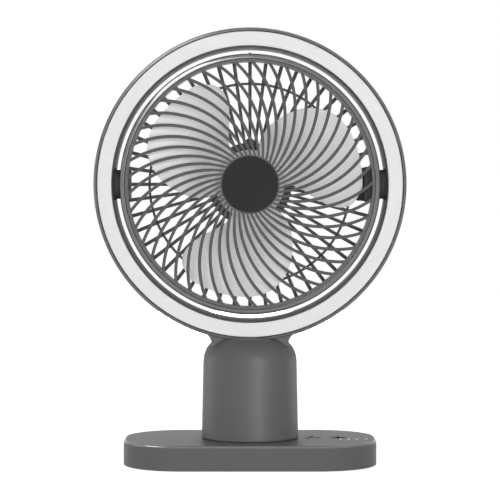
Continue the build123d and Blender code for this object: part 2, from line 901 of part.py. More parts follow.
def grille_sphere():
    """Middle and radius of the ball that the front grille's face lies on."""
    drop = (duct_radius**2 - grille_hub_radius**2 - grille_rise**2) / (2 * grille_rise)
    middle = rim_front - drop
    return middle, math.hypot(duct_radius, drop)


def front_ribs():
    """Curved ribs between the hub and the rim, bowed to the front."""
    middle, radius = grille_sphere()
    start = grille_hub_radius - rib_root
    stop = duct_radius + rib_root
    spine = ThreePointArc(
        polar(start, 0),
        polar((start + stop) / 2, rib_mid_turn),
        polar(stop, rib_full_turn),
    )
    plan = trace(spine, rib_width)
    low = rim_front - 2 * rib_depth
    high = grille_hub_front + rib_depth
    bowl = Sphere(radius) - Sphere(radius - rib_depth)
    rib = Pos(0, 0, low) * extrude(plan, high - low)
    rib &= Pos(0, 0, middle) * Rot(0, 90, 0) * bowl
    return around(rib, 0, rib_count)


def front_grille():
    """Front guard: rim that plugs into the band, curved ribs, and a cup for the cap."""
    edge = (rim_radius, rim_front)
    rim = turned(
        ((duct_radius, land_front), (rim_radius, land_front), edge, (duct_radius, rim_front)),
        ((edge, rim_round),),
    )
    cup = rod(grille_hub_radius, cap_seat - grille_hub_floor, grille_hub_front)
    body = rim + cup + front_ribs()
    body -= rod(grille_hub_radius - grille_hub_lip, cap_seat, grille_hub_front + overrun)
    body = fan_frame * body
    for relief in on_sides(pivot_relief()):
        body -= relief
    return body


def grille_cap():
    """Dark cap in the middle of the front grille, with a low crown."""
    high = cap_seat + cap_thickness
    shoulder = high - cap_crown
    side_top = (cap_radius, shoulder - cap_edge_round)
    face_edge = (cap_radius - cap_edge_round, shoulder)
    lines = [
        Line((0, cap_seat), (cap_radius, cap_seat)),
        Line((cap_radius, cap_seat), side_top),
        RadiusArc(side_top, face_edge, -cap_edge_round),
        Line(face_edge, (0, high)),
        Line((0, high), (0, cap_seat)),
    ]
    return fan_frame * revolve(Plane.XZ * make_face(lines), Axis.Z)


def rear_grille():
    """Rear guard: rim, straight ribs, one ring, and the plate that the motor is fixed to."""
    edge = (rim_radius, -rim_front)
    rim = turned(
        ((duct_radius, -land_front), (rim_radius, -land_front), edge, (duct_radius, -rim_front)),
        ((edge, rim_round),),
    )
    low = -rim_front
    high = low + rear_rib_depth
    root = rear_disc_radius - rib_root
    tip = duct_radius + rib_root
    plan = make_face(
        Polyline(
            (root, -rear_rib_root_width / 2),
            (tip, -rear_rib_tip_width / 2),
            (tip, rear_rib_tip_width / 2),
            (root, rear_rib_root_width / 2),
            close=True,
        )
    )
    rib = Pos(0, 0, low) * extrude(plan, rear_rib_depth)
    body = rim + rod(rear_disc_radius, low, disc_front)
    body += around(rib, 0, rear_rib_count)
    body += tube(rear_ring_radius + rear_ring_width / 2, rear_ring_radius - rear_ring_width / 2, low, high)
    body += around(rod(rear_boss_radius, low, low + rear_boss_height), boss_circle, rear_boss_count)
    body -= around(
        rod(small_screw + screw_gap, low, low + rear_boss_height), boss_circle, rear_boss_count
    )
    body -= rod(shaft_well_radius, low, disc_front)
    hole = rod(small_screw + screw_gap, low, disc_front)
    body -= around(hole, motor_screw_circle, motor_screw_count, motor_screw_turn)
    body = fan_frame * body
    for relief in on_sides(pivot_relief()):
        body -= relief
    return body


# Side pivots


def pivot():
    """Hollow pivot pin with a flange inside the ring and a groove for its clip."""
    seat = pivot_pad_back + fit_gap
    pin = rod(pivot_radius, pivot_inner_end, seat)
    pin += rod(pivot_flange_radius, seat, seat + pivot_flange_thickness)
    groove_low = pivot_inner_end + clip_inset - fit_gap
    groove_high = pivot_inner_end + clip_inset + clip_thickness
    pin -= tube(pivot_radius, pivot_radius - pivot_groove_depth, groove_low, groove_high)
    return pin - rod(pivot_bore_radius, pivot_inner_end, seat + pivot_flange_thickness)


def right_pivot():
    """Pivot that the motor's lead goes through."""
    return on_sides(pivot())[0]


def left_pivot():
    """Pivot on the other side."""
    return on_sides(pivot())[1]


def pivot_clips():
    """Spring clips that keep the pivots in the band."""
    low = pivot_inner_end + clip_inset
    inner = pivot_radius - pivot_groove_depth + shaft_gap
    return on_sides(tube(clip_radius, inner, low, low + clip_thickness - fit_gap))


def pivot_washers():
    """Friction washers between the band's bosses and the ring's pads, which hold the tilt."""
    inner = pivot_radius + fit_gap
    return on_sides(tube(washer_radius, inner, pivot_boss_end, pivot_boss_end + washer_thickness))


def lead_box():
    """Box inside the right pivot that hides the motor's lead from the blades."""
    low = blade_tip_radius + lead_box_tip_gap
    depth = lead_box_front + lead_box_rear
    middle = (lead_box_front - lead_box_rear) / 2
    length = duct_radius - low
    body = Pos(low + length / 2, 0, middle) * Box(length, lead_box_height, depth)
    upright = body.edges().filter_by(Axis.X)
    body = fillet(upright, lead_box_round)
    room = Pos(low + lead_box_floor + length / 2, 0, middle) * Box(
        length, 2 * pivot_relief_radius, depth - 2 * lead_box_floor
    )
    body -= room
    body &= rod(duct_radius - fit_gap, -lead_box_rear, lead_box_front)
    body -= Pos(0, 0, lead_height()) * Rot(0, 90, 0) * rod(lead_radius + lead_gap, 0, band_radius)
    return fan_frame * body


def lead_height():
    """Height of the motor lead's middle: it lies on a rib of the rear grille."""
    return rear_rib_depth - rim_front + lead_radius + lead_gap


def motor_lead():
    """Lead from the motor along a rear rib to the right pivot."""
    start = motor_base_radius + fit_gap
    stop = blade_tip_radius + lead_box_tip_gap + lead_box_floor
    boss_edge = boss_circle + rear_boss_radius + fit_gap
    lead = rod(lead_radius, max(start, boss_edge), stop)
    return fan_frame * Pos(0, 0, lead_height()) * Rot(0, 90, 0) * lead


# Motor


def motor_base():
    """Motor's base: a plate on the rear grille with the bearing tube."""
    body = rod(motor_base_radius, disc_front, motor_base_front)
    body += rod(bearing_tube_radius, motor_base_front, bearing_tube_reach)
    rear_seat = disc_front + bearing_width
    front_seat = bearing_tube_reach - bearing_width
    body -= rod(bearing_radius + screw_gap, disc_front, rear_seat)
    body -= rod(bearing_radius + screw_gap, front_seat, bearing_tube_reach)
    body -= rod(bearing_radius - bearing_shoulder, disc_front, bearing_tube_reach)
    pilot = rod(small_screw + screw_gap, disc_front, disc_front + motor_screw_depth)
    seat = rod(small_screw + boss_wall, motor_base_front, disc_front + motor_screw_depth + boss_wall)
    body += around(seat, motor_screw_circle, motor_screw_count, motor_screw_turn)
    body -= around(pilot, motor_screw_circle, motor_screw_count, motor_screw_turn)
    return fan_frame * body


def bearing(low):
    """Ball bearing as one ring."""
    return fan_frame * tube(bearing_radius, shaft_radius + shaft_gap / 2, low, low + bearing_width)


def front_bearing():
    """Bearing at the rotor's end of the tube."""
    return bearing(bearing_tube_reach - bearing_width)


def rear_bearing():
    """Bearing at the rear end of the tube."""
    return bearing(disc_front)


def stator_low():
    """Rear face of the stator's iron."""
    return stator_front - stator_height


def stator_core():
    """Laminated iron: a hub on the bearing tube, and teeth with wide shoes."""
    low = stator_low()
    inner = bearing_tube_radius + fit_gap
    hub = rod(inner + stator_hub_wall, low, stator_front)
    tooth_end = stator_radius - shoe_thickness / 2
    tooth = Pos(tooth_end / 2) * block(tooth_end, tooth_width, low, stator_front)
    shoe_inner = stator_radius - shoe_thickness
    half = shoe_spread / 2
    shoe = make_face(
        [
            CenterArc((0, 0), stator_radius, -half, shoe_spread),
            Line(polar(stator_radius, half), polar(shoe_inner, half)),
            CenterArc((0, 0), shoe_inner, -half, shoe_spread),
            Line(polar(stator_radius, -half), polar(shoe_inner, -half)),
        ]
    )
    tooth += Pos(0, 0, low) * extrude(shoe, stator_height)
    core = hub + around(tooth, 0, tooth_count)
    return fan_frame * (core - rod(inner, low, stator_front))


def stator_coils():
    """Windings on the teeth, each as its outer form."""
    low = stator_low() - coil_overhang
    high = stator_front + coil_overhang
    start = bearing_tube_radius + fit_gap + stator_hub_wall + coil_end_gap
    stop = (stator_radius - shoe_thickness) * math.cos(math.radians(shoe_spread / 2)) - coil_end_gap
    length = stop - start
    coil = Pos((start + stop) / 2) * (
        block(length, coil_width, low, high)
        - block(length, tooth_width + 2 * fit_gap, stator_low() - fit_gap, stator_front + fit_gap)
    )
    return [fan_frame * piece for piece in around(coil, 0, tooth_count)]


def motor_board():
    """Round driver board on the bearing tube, standing on the screw seats of the motor's base."""
    low = disc_front + motor_screw_depth + boss_wall
    inner = bearing_tube_radius + fit_gap
    return fan_frame * tube(motor_board_radius, inner, low, low + motor_board_thickness)


def motor_screws():
    """Screws through the rear plate into the motor's base."""
    depth = rear_disc_thickness + motor_screw_depth - fit_gap
    piece = Pos(0, 0, -rim_front) * screw(small_screw, small_head, small_head_height, depth)
    pieces = around(piece, motor_screw_circle, motor_screw_count, motor_screw_turn)
    return [fan_frame * one for one in pieces]


def motor_cover():
    """Dished cover behind the motor, with an ear over each boss of the rear grille."""
    low = -rim_front - cover_depth
    high = -rim_front
    edge = (rear_disc_radius - rear_boss_radius - cover_wall, low)
    dish = turned(((0, low), edge, (edge[0], high), (0, high)), ((edge, cover_round),))
    dish -= rod(edge[0] - cover_wall, low + cover_wall, high)
    ear_low = high - cover_wall
    flange = tube(rear_disc_radius, edge[0] - cover_wall, ear_low, high)
    ears = around(rod(rear_boss_radius, ear_low, high), boss_circle, rear_boss_count)
    body = dish + flange + ears
    body -= around(rod(small_screw + screw_gap, ear_low, high), boss_circle, rear_boss_count)
    return fan_frame * body


def cover_screws():
    """Screws that hold the cover to the rear grille."""
    depth = cover_wall + rear_boss_height - boss_wall
    piece = Pos(0, 0, -rim_front - cover_wall) * screw(small_screw, small_head, small_head_height, depth)
    return [fan_frame * one for one in around(piece, boss_circle, rear_boss_count)]


# Rotor


def blade_sheet():
    """Twisted sheet that a blade is cut from: each radius climbs from its leading to its trailing edge."""
    span = blade_trail_angle - blade_lead_angle
    climb = blade_trail_height - blade_lead_height
    reach = 2 * blade_spill + span

    def edge(radius):
        points = []
        for i in range(blade_sections):
            angle = blade_lead_angle - blade_spill + reach * i / (blade_sections - 1)
            along = (angle - blade_lead_angle) / span
            bow = blade_camber * (1 - (2 * along - 1) ** 2)
            points.append((*polar(radius, angle), blade_lead_height + climb * along + bow))
        return Spline(*points)

    inner = edge(hub_radius / 2)
    outer = edge(blade_tip_radius + hub_radius / 2)
    surface = Face.make_surface_from_curves(inner.edge(), outer.edge())
    return thicken(surface, blade_thickness / 2, both=True)


def blade_outline():
    """Plan of one blade: curved edges, a round tip and a root inside the hub."""
    root = hub_radius - blade_root_inset
    reach = blade_tip_radius - root
    lead = [polar(root, root_angles[0])]
    lead += [polar(root + share * reach, angle) for angle, share in lead_edge_shares]
    lead.append(polar(blade_tip_radius, tip_angles[0]))
    trail = [polar(blade_tip_radius, tip_angles[-1])]
    trail += [polar(root + share * reach, angle) for angle, share in trail_edge_shares]
    trail.append(polar(root, root_angles[1]))
    tip = ThreePointArc(*[polar(blade_tip_radius, angle) for angle in tip_angles])
    middle = (root_angles[0] + root_angles[1]) / 2
    foot = ThreePointArc(polar(root, root_angles[1]), polar(root, middle), polar(root, root_angles[0]))
    return make_face([Spline(*lead), tip, Spline(*trail), foot])


def impeller():
    """Hub cup with its blades."""
    edge = (hub_radius, hub_front)
    hub = turned(((0, hub_rear), (hub_radius, hub_rear), edge, (0, hub_front)), ((edge, hub_edge_round),))
    hub -= rod(hub_radius - hub_wall, hub_rear, hub_front - hub_wall)
    boss_low = bearing_tube_reach + hub_boss_gap
    hub += rod(hub_boss_radius, boss_low, hub_front - hub_wall)
    hub -= rod(shaft_radius + screw_gap, hub_rear, hub_front - hub_wall)
    deep = hub_radius
    blade = blade_sheet() & (Pos(0, 0, -deep) * extrude(blade_outline(), 2 * deep))
    for place in PolarLocations(0, blade_count):
        hub += place * blade
    return fan_frame * hub


def magnet_front():
    """Front face of the rotor's magnet."""
    return stator_front + (magnet_length - stator_height) / 2


def rotor_magnet():
    """Ring magnet round the stator."""
    inner = stator_radius + magnet_gap
    return fan_frame * tube(magnet_radius, inner, magnet_front() - magnet_length, magnet_front())


def rotor_yoke():
    """Iron ring between the magnet and the hub."""
    low = magnet_front() - magnet_length
    return fan_frame * tube(yoke_radius, magnet_radius + screw_gap, low, magnet_front())


def motor_shaft():
    """Steel shaft from the hub through both bearings, grooved for its clip."""
    clip_high = disc_front - fit_gap
    clip_low = clip_high - shaft_clip_thickness
    shaft = rod(shaft_radius, clip_low - shaft_tail, hub_front - hub_wall)
    groove = tube(shaft_radius, shaft_radius - shaft_groove_depth, clip_low, clip_high)
    return fan_frame * (shaft - groove)


def shaft_clip():
    """Clip behind the rear bearing."""
    clip_high = disc_front - fit_gap
    inner = shaft_radius - shaft_groove_depth + shaft_gap
    low = clip_high - shaft_clip_thickness
    return fan_frame * tube(clip_outer_radius, inner, low + shaft_gap, clip_high - shaft_gap)


PIECES = (
    base_shell, base_plate, base_feet, base_screws, battery_pack, control_board, touch_pads,
    charge_lights, power_light, usb_socket, swivel_ring, swivel_spigot, spigot_screws, swivel_shaft,
    column_shell, swivel_plate, plate_screws, swivel_motor, swivel_motor_screws, neck_clamp, neck_screws,
    ring_housing, light_diffuser, led_board, ring_leds,
    head_band, front_grille, grille_cap, rear_grille, right_pivot, left_pivot, pivot_clips, pivot_washers,
    lead_box, motor_lead, motor_base, front_bearing, rear_bearing, stator_core, stator_coils, motor_board,
    motor_screws, motor_cover, cover_screws,
    impeller, rotor_magnet, rotor_yoke, motor_shaft, shaft_clip,
)


def main():
    os.makedirs("parts", exist_ok=True)
    for make in PIECES:
        made = make()
        solids = made if isinstance(made, list) else [made]
        solids = [solid for piece in solids for solid in piece.solids()]
        shape = solids[0] if len(solids) == 1 else Compound(children=solids)
        export_step(shape, f"parts/{make.__name__}.step")


if __name__ == "__main__":
    main()
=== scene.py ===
# %% [markdown]
# A rechargeable desk fan with a lighting ring. Its solids come as a fixed frame, at their real size.
# This lesson gives the pieces that show a finer mesh with soft edges, gives every piece a finish made
# of nodes, and sets up a white studio. The frame is loaded first, because every size starts from it.

# %% Load the frame
import json
import math
from functools import partial

import bmesh
import bpy
from mathutils import Matrix, Vector


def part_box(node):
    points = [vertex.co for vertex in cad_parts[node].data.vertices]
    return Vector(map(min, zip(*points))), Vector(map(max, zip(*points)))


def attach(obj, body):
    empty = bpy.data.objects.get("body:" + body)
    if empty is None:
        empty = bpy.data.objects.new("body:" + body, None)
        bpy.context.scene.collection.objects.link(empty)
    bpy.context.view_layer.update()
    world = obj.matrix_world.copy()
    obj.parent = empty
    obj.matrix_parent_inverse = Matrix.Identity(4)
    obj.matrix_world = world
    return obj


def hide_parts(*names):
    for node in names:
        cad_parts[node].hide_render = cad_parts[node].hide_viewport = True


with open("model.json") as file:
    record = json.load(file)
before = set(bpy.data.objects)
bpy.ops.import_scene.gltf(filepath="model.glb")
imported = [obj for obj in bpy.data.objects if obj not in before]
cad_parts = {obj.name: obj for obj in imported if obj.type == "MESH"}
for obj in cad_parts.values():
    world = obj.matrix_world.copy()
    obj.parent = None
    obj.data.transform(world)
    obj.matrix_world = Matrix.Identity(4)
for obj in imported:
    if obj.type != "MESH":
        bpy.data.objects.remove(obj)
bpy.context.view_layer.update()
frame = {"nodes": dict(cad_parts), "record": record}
scene = bpy.context.scene

# %% [markdown]
# Most of the fan is round. The fan's own pieces turn about a level axis that points at the viewer,
# and the column turns about the upright one. Two matrices carry a shape from its own upright axis
# to either place, so each round piece is drawn as a half section only. Sizes are written in
# millimetres, as on a drawing; a piece is brought to metres when it is put in the scene.

# %% Sizes read from the frame
mm = 0.001


def box(node):
    """Lowest and highest corner of a node's box, in millimetres."""
    return [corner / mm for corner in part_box(node)]


ring_high = box("ring_housing")[1]
ring_radius = ring_high.x
axis_height = ring_high.z - ring_radius


def moved(x=0, y=0, z=0):
    """Matrix that moves a shape."""
    return Matrix.Translation((x, y, z))


def spun(degrees, axis):
    """Matrix that turns a shape about an axis."""
    return Matrix.Rotation(math.radians(degrees), 4, axis)


upright = Matrix.Identity(4)
facing = moved(z=axis_height) @ spun(90, "X")
print(f"ring {2 * ring_radius:.1f} mm across, its axis {axis_height:.1f} mm up")

# %% [markdown]
# Node trees repeat a few gestures: add a node, set its options, fill or link its inputs. One helper
# does that for shader trees and for Geometry Nodes trees alike, and gives the output that comes next.

# %% Node helpers


def put(tree, kind, values=None, output=0, **options):
    """Adds a node and gives one output; a socket among the values is linked, the rest are set."""
    node = tree.nodes.new(kind)
    for key, value in options.items():
        setattr(node, key, value)
    for key, value in (values or {}).items():
        if isinstance(value, bpy.types.NodeSocket):
            tree.links.new(value, node.inputs[key])
        else:
            node.inputs[key].default_value = value
    return node.outputs[output] if node.outputs else None


def maths(tree, operation, first, second=0.0):
    """One sum of two numbers."""
    return put(tree, "ShaderNodeMath", {0: first, 1: second}, operation=operation)


def ramp(tree, value, low, high, start=0.0, stop=1.0, **options):
    """Carries a value from the range of start to stop into the range of low to high."""
    limits = {"Value": value, "From Min": start, "From Max": stop, "To Min": low, "To Max": high}
    return put(tree, "ShaderNodeMapRange", limits, **options)


def clear_tree(owner):
    """Empty node tree of a material or a world."""
    owner.use_nodes = True
    owner.node_tree.nodes.clear()
    return owner.node_tree


def make_finish(name, recipe, *values, **options):
    """Material whose main shader takes its inputs from a recipe."""
    finish = bpy.data.materials.new(name)
    tree = clear_tree(finish)
    where = put(tree, "ShaderNodeTexCoord", output="Object")
    shader = put(tree, "ShaderNodeBsdfPrincipled", recipe(tree, where, *values, **options))
    put(tree, "ShaderNodeOutputMaterial", {"Surface": shader})
    return finish


print("materials before the first finish:", len(bpy.data.materials))

# %% [markdown]
# A finish is rarely one flat colour. Noise over the piece's own coordinates stays mostly between 0.3
# and 0.7, so that range is spread over the limits that a colour or a roughness should have.

# %% Noise, shades and bumps
noise_low, noise_high = 0.3, 0.7
spread = partial(ramp, start=noise_low, stop=noise_high)


def noise(tree, where, scale, detail=2.0):
    """Cloudy noise over the piece's own coordinates, in features per metre."""
    return put(tree, "ShaderNodeTexNoise", {"Vector": where, "Scale": scale, "Detail": detail}, "Fac")


def blend(tree, share, first, second):
    """Mix of two colours."""
    colours = {"Factor": share, "A": first, "B": second}
    return put(tree, "ShaderNodeMix", colours, "Result", data_type="RGBA")


def shade(colour, factor, lift=0.0):
    """A colour made darker or lighter."""
    return [min(1.0, part * factor + lift) for part in colour] + [1.0]


def tinted(tree, share, colour, dark, light):
    """A colour that a value takes from a darker shade to a lighter one."""
    return blend(tree, share, shade(colour, dark), shade(colour, light))


def bumps(tree, height, strength, depth):
    """Fine relief from a value."""
    return put(tree, "ShaderNodeBump", {"Height": height, "Strength": strength, "Distance": depth})


print("noise is spread from", noise_low, "to", noise_high)

# %% [markdown]
# The casing is one grey satin plastic. Up close it has the fine spark-eroded grain of its mould, a
# slightly cloudy tone, and edges that hands have polished a little paler. A flat colour would lose
# all of that, so three noises and the worn value drive the colour, the roughness and the bump.

# %% Moulded plastics


def moulded(tree, where, colour, rough, grain=0.12, shine=0.3):
    """Satin plastic: cloudy tone, paler worn edges and a fine moulded grain."""
    tone = tinted(tree, noise(tree, where, scale=38.0, detail=3.0), colour, dark=0.94, light=1.06)
    speck = noise(tree, where, scale=900.0)
    wear = put(tree, "ShaderNodeAttribute", output="Fac", attribute_name="worn")
    patches = spread(tree, noise(tree, where, scale=120.0), low=0.05, high=0.3)
    polish = maths(tree, "MULTIPLY", wear, 0.24)
    gloss = spread(tree, speck, low=rough - 0.05, high=rough + 0.05)
    paler = shade(colour, factor=2.2, lift=0.02)
    return {
        "Base Color": blend(tree, maths(tree, "MULTIPLY", wear, patches), tone, paler),
        "Roughness": maths(tree, "SUBTRACT", gloss, polish),
        "Specular IOR Level": shine,
        "Normal": bumps(tree, speck, strength=grain, depth=0.05 * mm),
    }


casing_grey = make_finish("casing_grey", moulded, (0.11, 0.11, 0.111), rough=0.45, shine=0.2)
band_grey = make_finish("band_grey", moulded, (0.097, 0.097, 0.098), rough=0.34, grain=0.06, shine=1.0)
bezel_grey = make_finish("bezel_grey", moulded, (0.113, 0.113, 0.114), rough=0.42, grain=0.08, shine=0.4)
guard_grey = make_finish("guard_grey", moulded, (0.091, 0.091, 0.092), rough=0.44)
trim_black = make_finish("trim_black", moulded, (0.031, 0.031, 0.0312), rough=0.55, shine=0.06)
inner_black = make_finish("inner_black", moulded, (0.018, 0.018, 0.0182), rough=0.5, shine=0.2)
pivot_black = make_finish("pivot_black", moulded, (0.056, 0.056, 0.0565), rough=0.7, shine=0.02)
mark_ink = make_finish("mark_ink", moulded, (0.012, 0.012, 0.012), rough=0.9, shine=0.0)
waxy_white = make_finish("waxy_white", moulded, (0.72, 0.70, 0.64), rough=0.4)
rotor_pale = make_finish("rotor_pale", moulded, (0.9, 0.9, 0.903), rough=0.3, grain=0.04)
cell_film = make_finish("cell_film", moulded, (0.09, 0.20, 0.38), rough=0.25, grain=0.03)
print("plastics:", casing_grey.name, "to", cell_film.name)

# %% [markdown]
# The light ring is milky plastic: it glows a little below its surface instead of shining. The small
# lenses on the base are clear rods with a lamp under them, so they have their own weak light. The
# lamps inside the ring are off.

# %% Milky ring and small lenses


def milky(tree, where, colour):
    """Light-spreading plastic with a faint cloud and a soft body."""
    cloud = noise(tree, where, scale=60.0, detail=3.0)
    return {
        "Base Color": tinted(tree, cloud, colour, dark=0.985, light=1.015),
        "Roughness": spread(tree, noise(tree, where, scale=700.0), low=0.46, high=0.56),
        "Subsurface Weight": 0.15,
        "Subsurface Radius": (2 * mm, 2 * mm, 2 * mm),
    }


def lens(tree, where, colour, glow):
    """Clear rod lit from below, with a faint grain in its light."""
    light = tinted(tree, noise(tree, where, scale=1500.0), colour, dark=0.85, light=1.15)
    return {"Base Color": light, "Emission Color": light, "Emission Strength": glow, "Roughness": 0.2}


light_milk = make_finish("light_milk", milky, (0.79, 0.79, 0.79))
charge_green = make_finish("charge_green", lens, (0.27, 0.47, 0.29), glow=0.6)
power_blue = make_finish("power_blue", lens, (0.29, 0.44, 0.43), glow=0.6)
lamp_yellow = make_finish("lamp_yellow", lens, (0.80, 0.70, 0.30), glow=0.0)
print("light pieces:", light_milk.name, charge_green.name, power_blue.name, lamp_yellow.name)

# %% [markdown]
# Inside are rubber, steel, iron, copper and lacquered boards. They show through gaps or when a maker
# takes the fan apart, so they get their own finishes too: drawn streaks on steel, turns of wire on
# the windings, tracks under the lacquer of a board.

# %% Rubber, metals and boards


def soft_rubber(tree, where, colour):
    """Matt rubber with a dusty bloom."""
    bloom = noise(tree, where, scale=240.0, detail=4.0)
    return {
        "Base Color": tinted(tree, bloom, colour, dark=0.8, light=1.5),
        "Roughness": spread(tree, bloom, low=0.7, high=0.9),
        "Normal": bumps(tree, bloom, strength=0.2, depth=0.08 * mm),
    }


def drawn_metal(tree, where, colour, rough):
    """Metal with fine streaks along its own height."""
    squeezed = put(tree, "ShaderNodeMapping", {"Vector": where, "Scale": (1.0, 1.0, 0.08)})
    streak = noise(tree, squeezed, scale=2200.0, detail=3.0)
    return {
        "Base Color": tinted(tree, streak, colour, dark=0.85, light=1.1),
        "Roughness": spread(tree, streak, low=rough - 0.08, high=rough + 0.1),
        "Metallic": 1.0,
    }


def wound_copper(tree, where, colour):
    """Enamelled wire: bands for the turns, over the winding's form."""
    bands = {"Vector": where, "Scale": 700.0, "Distortion": 0.6}
    turns = put(tree, "ShaderNodeTexWave", bands, "Fac", bands_direction="Y")
    return {
        "Base Color": tinted(tree, turns, colour, dark=0.6, light=1.1),
        "Roughness": spread(tree, turns, low=0.25, high=0.4),
        "Normal": bumps(tree, turns, strength=0.8, depth=0.15 * mm),
        "Metallic": 1.0,
        "Coat Weight": 0.4,
    }


def lacquered_board(tree, where, colour):
    """Circuit board: paler tracks in cells under a clear lacquer."""
    cells = {"Vector": where, "Scale": 260.0}
    gap = put(tree, "ShaderNodeTexVoronoi", cells, "Distance", feature="DISTANCE_TO_EDGE")
    track = ramp(tree, gap, low=0.0, high=1.0, start=0.02, stop=0.08)
    return {
        "Base Color": tinted(tree, track, colour, dark=1.5, light=0.9),
        "Roughness": spread(tree, track, low=0.3, high=0.4),
        "Coat Weight": 0.6,
    }


foot_rubber = make_finish("foot_rubber", soft_rubber, (0.03, 0.03, 0.03))
screw_steel = make_finish("screw_steel", drawn_metal, (0.22, 0.22, 0.23), rough=0.38)
bright_steel = make_finish("bright_steel", drawn_metal, (0.62, 0.62, 0.63), rough=0.28)
bare_iron = make_finish("bare_iron", drawn_metal, (0.30, 0.30, 0.31), rough=0.5)
coil_copper = make_finish("coil_copper", wound_copper, (0.72, 0.32, 0.14))
board_green = make_finish("board_green", lacquered_board, (0.012, 0.085, 0.035))
print("materials so far:", len(bpy.data.materials))

# %% [markdown]
# Every node of the frame names a material slot in the record. One table says which finish each slot
# gets, and a loop paints the nodes, so nothing is left in its plain colour.

# %% Paint the frame's own nodes
slot_finish = {
    "grey_casing": casing_grey,
    "grey_grille": guard_grey,
    "dark_trim": trim_black,
    "milky_light": light_milk,
    "pale_rotor": rotor_pale,
    "inner_plastic": inner_black,
    "slide_plastic": waxy_white,
    "foot_rubber": foot_rubber,
    "key_foam": foot_rubber,
    "screw_steel": screw_steel,
    "shaft_steel": bright_steel,
    "core_iron": bare_iron,
    "magnet_black": inner_black,
    "coil_copper": coil_copper,
    "cell_wrap": cell_film,
    "board_green": board_green,
    "lamp_white": lamp_yellow,
    "green_lens": charge_green,
    "blue_lens": power_blue,
}
node_finish = {row["node"]: slot_finish[row["material_slot"]] for row in frame["record"]["subparts"]}
node_finish["pivot_washers"] = inner_black
for node, finish in node_finish.items():
    solid = frame["nodes"][node]
    if not solid.material_slots:
        solid.data.materials.append(finish)
    for slot in solid.material_slots:
        slot.material = finish
print("painted:", len(node_finish), "nodes")

# %% [markdown]
# Moulded plastic has no knife edges. A section is therefore drawn as corners with a radius each, and
# every corner becomes an arc. Two holding points beside each arc keep the flats flat under smooth
# shading. Points on an arc also carry a worn value, which the plastic's finish reads.

# %% Soft-cornered outlines
arc_steps = 7
hold = 0.2


def soften(corners):
    """Closed outline of (u, v, worn) points from (u, v, radius) corners."""
    points = []
    for i, (u, v, radius) in enumerate(corners):
        here = Vector((u, v))
        if radius == 0:
            points.append((u, v, 0.0))
            continue
        before = (Vector(corners[i - 1][:2]) - here).normalized()
        after = (Vector(corners[(i + 1) % len(corners)][:2]) - here).normalized()
        half = before.angle(after) / 2
        reach = radius / math.tan(half)
        middle = here + (before + after).normalized() * radius / math.sin(half)
        start = here + before * reach - middle
        stop = here + after * reach - middle
        points.append((*(here + before * (reach + hold)), 0.0))
        for step in range(arc_steps + 1):
            share = step / arc_steps
            spoke = start.lerp(stop, share).normalized() * radius
            points.append((*(middle + spoke), math.sin(math.pi * share)))
        points.append((*(here + after * (reach + hold)), 0.0))
    return points


print("points on a soft corner:", len(soften([(0, 0, 0), (9, 0, 2), (9, 9, 0)])) - 2)

# %% [markdown]
# A lathe turns such a section about an axis. Blender has a Screw modifier and a Spin tool for this;
# a short loop is used here because it also stores the worn value on every point. Large round pieces
# get more segments than small ones, so that no outline shows its corners.

# %% Turned forms
fine_turn = 224
hub_turn = 96
foot_turn = 64
small_turn = 48
lens_turn = 32


def new_shape():
    """Empty mesh with a worn value on its points."""
    shape = bmesh.new()
    shape.verts.layers.float.new("worn")
    return shape


def skin(shape, loops, closed=False):
    """Joins loops of (point, worn) pairs into a skin; loops that don't close get two end faces."""
    worn = shape.verts.layers.float["worn"]
    rows = []
    for loop in loops:
        row = []
        for spot, wear in loop:
            point = shape.verts.new(spot)
            point[worn] = wear
            row.append(point)
        rows.append(row)
    pairs = list(zip(rows, rows[1:]))
    if closed:
        pairs.append((rows[-1], rows[0]))
    for low, high in pairs:
        for k in range(len(low)):
            j = (k + 1) % len(low)
            shape.faces.new((low[k], high[k], high[j], low[j]))
    if not closed:
        shape.faces.new(rows[0])
        shape.faces.new(rows[-1])


def add_turned(shape, outline, place, segments=fine_turn):
    """Turns an outline of (radius, height, worn) points about the axis of a place."""
    loops = []
    for s in range(segments):
        x, y = math.cos(math.tau * s / segments), math.sin(math.tau * s / segments)
        loops.append([(place @ Vector((r * x, r * y, height)), wear) for r, height, wear in outline])
    skin(shape, loops, closed=True)


def turned(outline, place, segments=fine_turn):
    """New shape with one turned outline."""
    shape = new_shape()
    add_turned(shape, outline, place, segments)
    return shape


def add_post(shape, place, radius, low, high, soft=0.4, segments=small_turn):
    """Turned post with soft ends."""
    outline = soften([(0, low, 0), (radius, low, soft), (radius, high, soft), (0, high, 0)])
    add_turned(shape, outline, place, segments)


print("segments of a turned piece:", lens_turn, "to", fine_turn)

# %% [markdown]
# Pieces that are not round are stacks: one plan, drawn once for each point of a section and pulled in
# by the inset of that point. A block is a stack of oblongs; extruding and bevelling a box would give
# the same form, but not the worn values of its edges.

# %% Stacked forms
corner_steps = 24
block_steps = 10
least_corner = 0.05


def add_stack(shape, outline, plan, place=upright):
    """Stacks a plan once for each (inset, height, worn) point of an outline."""
    loops = []
    for inset, height, wear in outline:
        loops.append([(place @ Vector((*spot, height)), wear) for spot in plan(inset)])
    skin(shape, loops)


def oblong(half_x, half_y, corner, steps, inset):
    """Points round an oblong with round corners, pulled in by an inset."""
    corner = max(corner - inset, least_corner)
    points = []
    for turn, (sx, sy) in enumerate(((1, 1), (-1, 1), (-1, -1), (1, -1))):
        for step in range(steps + 1):
            angle = math.pi / 2 * (turn + step / steps)
            x = sx * (half_x - inset - corner) + corner * math.cos(angle)
            y = sy * (half_y - inset - corner) + corner * math.sin(angle)
            points.append((x, y))
    return points


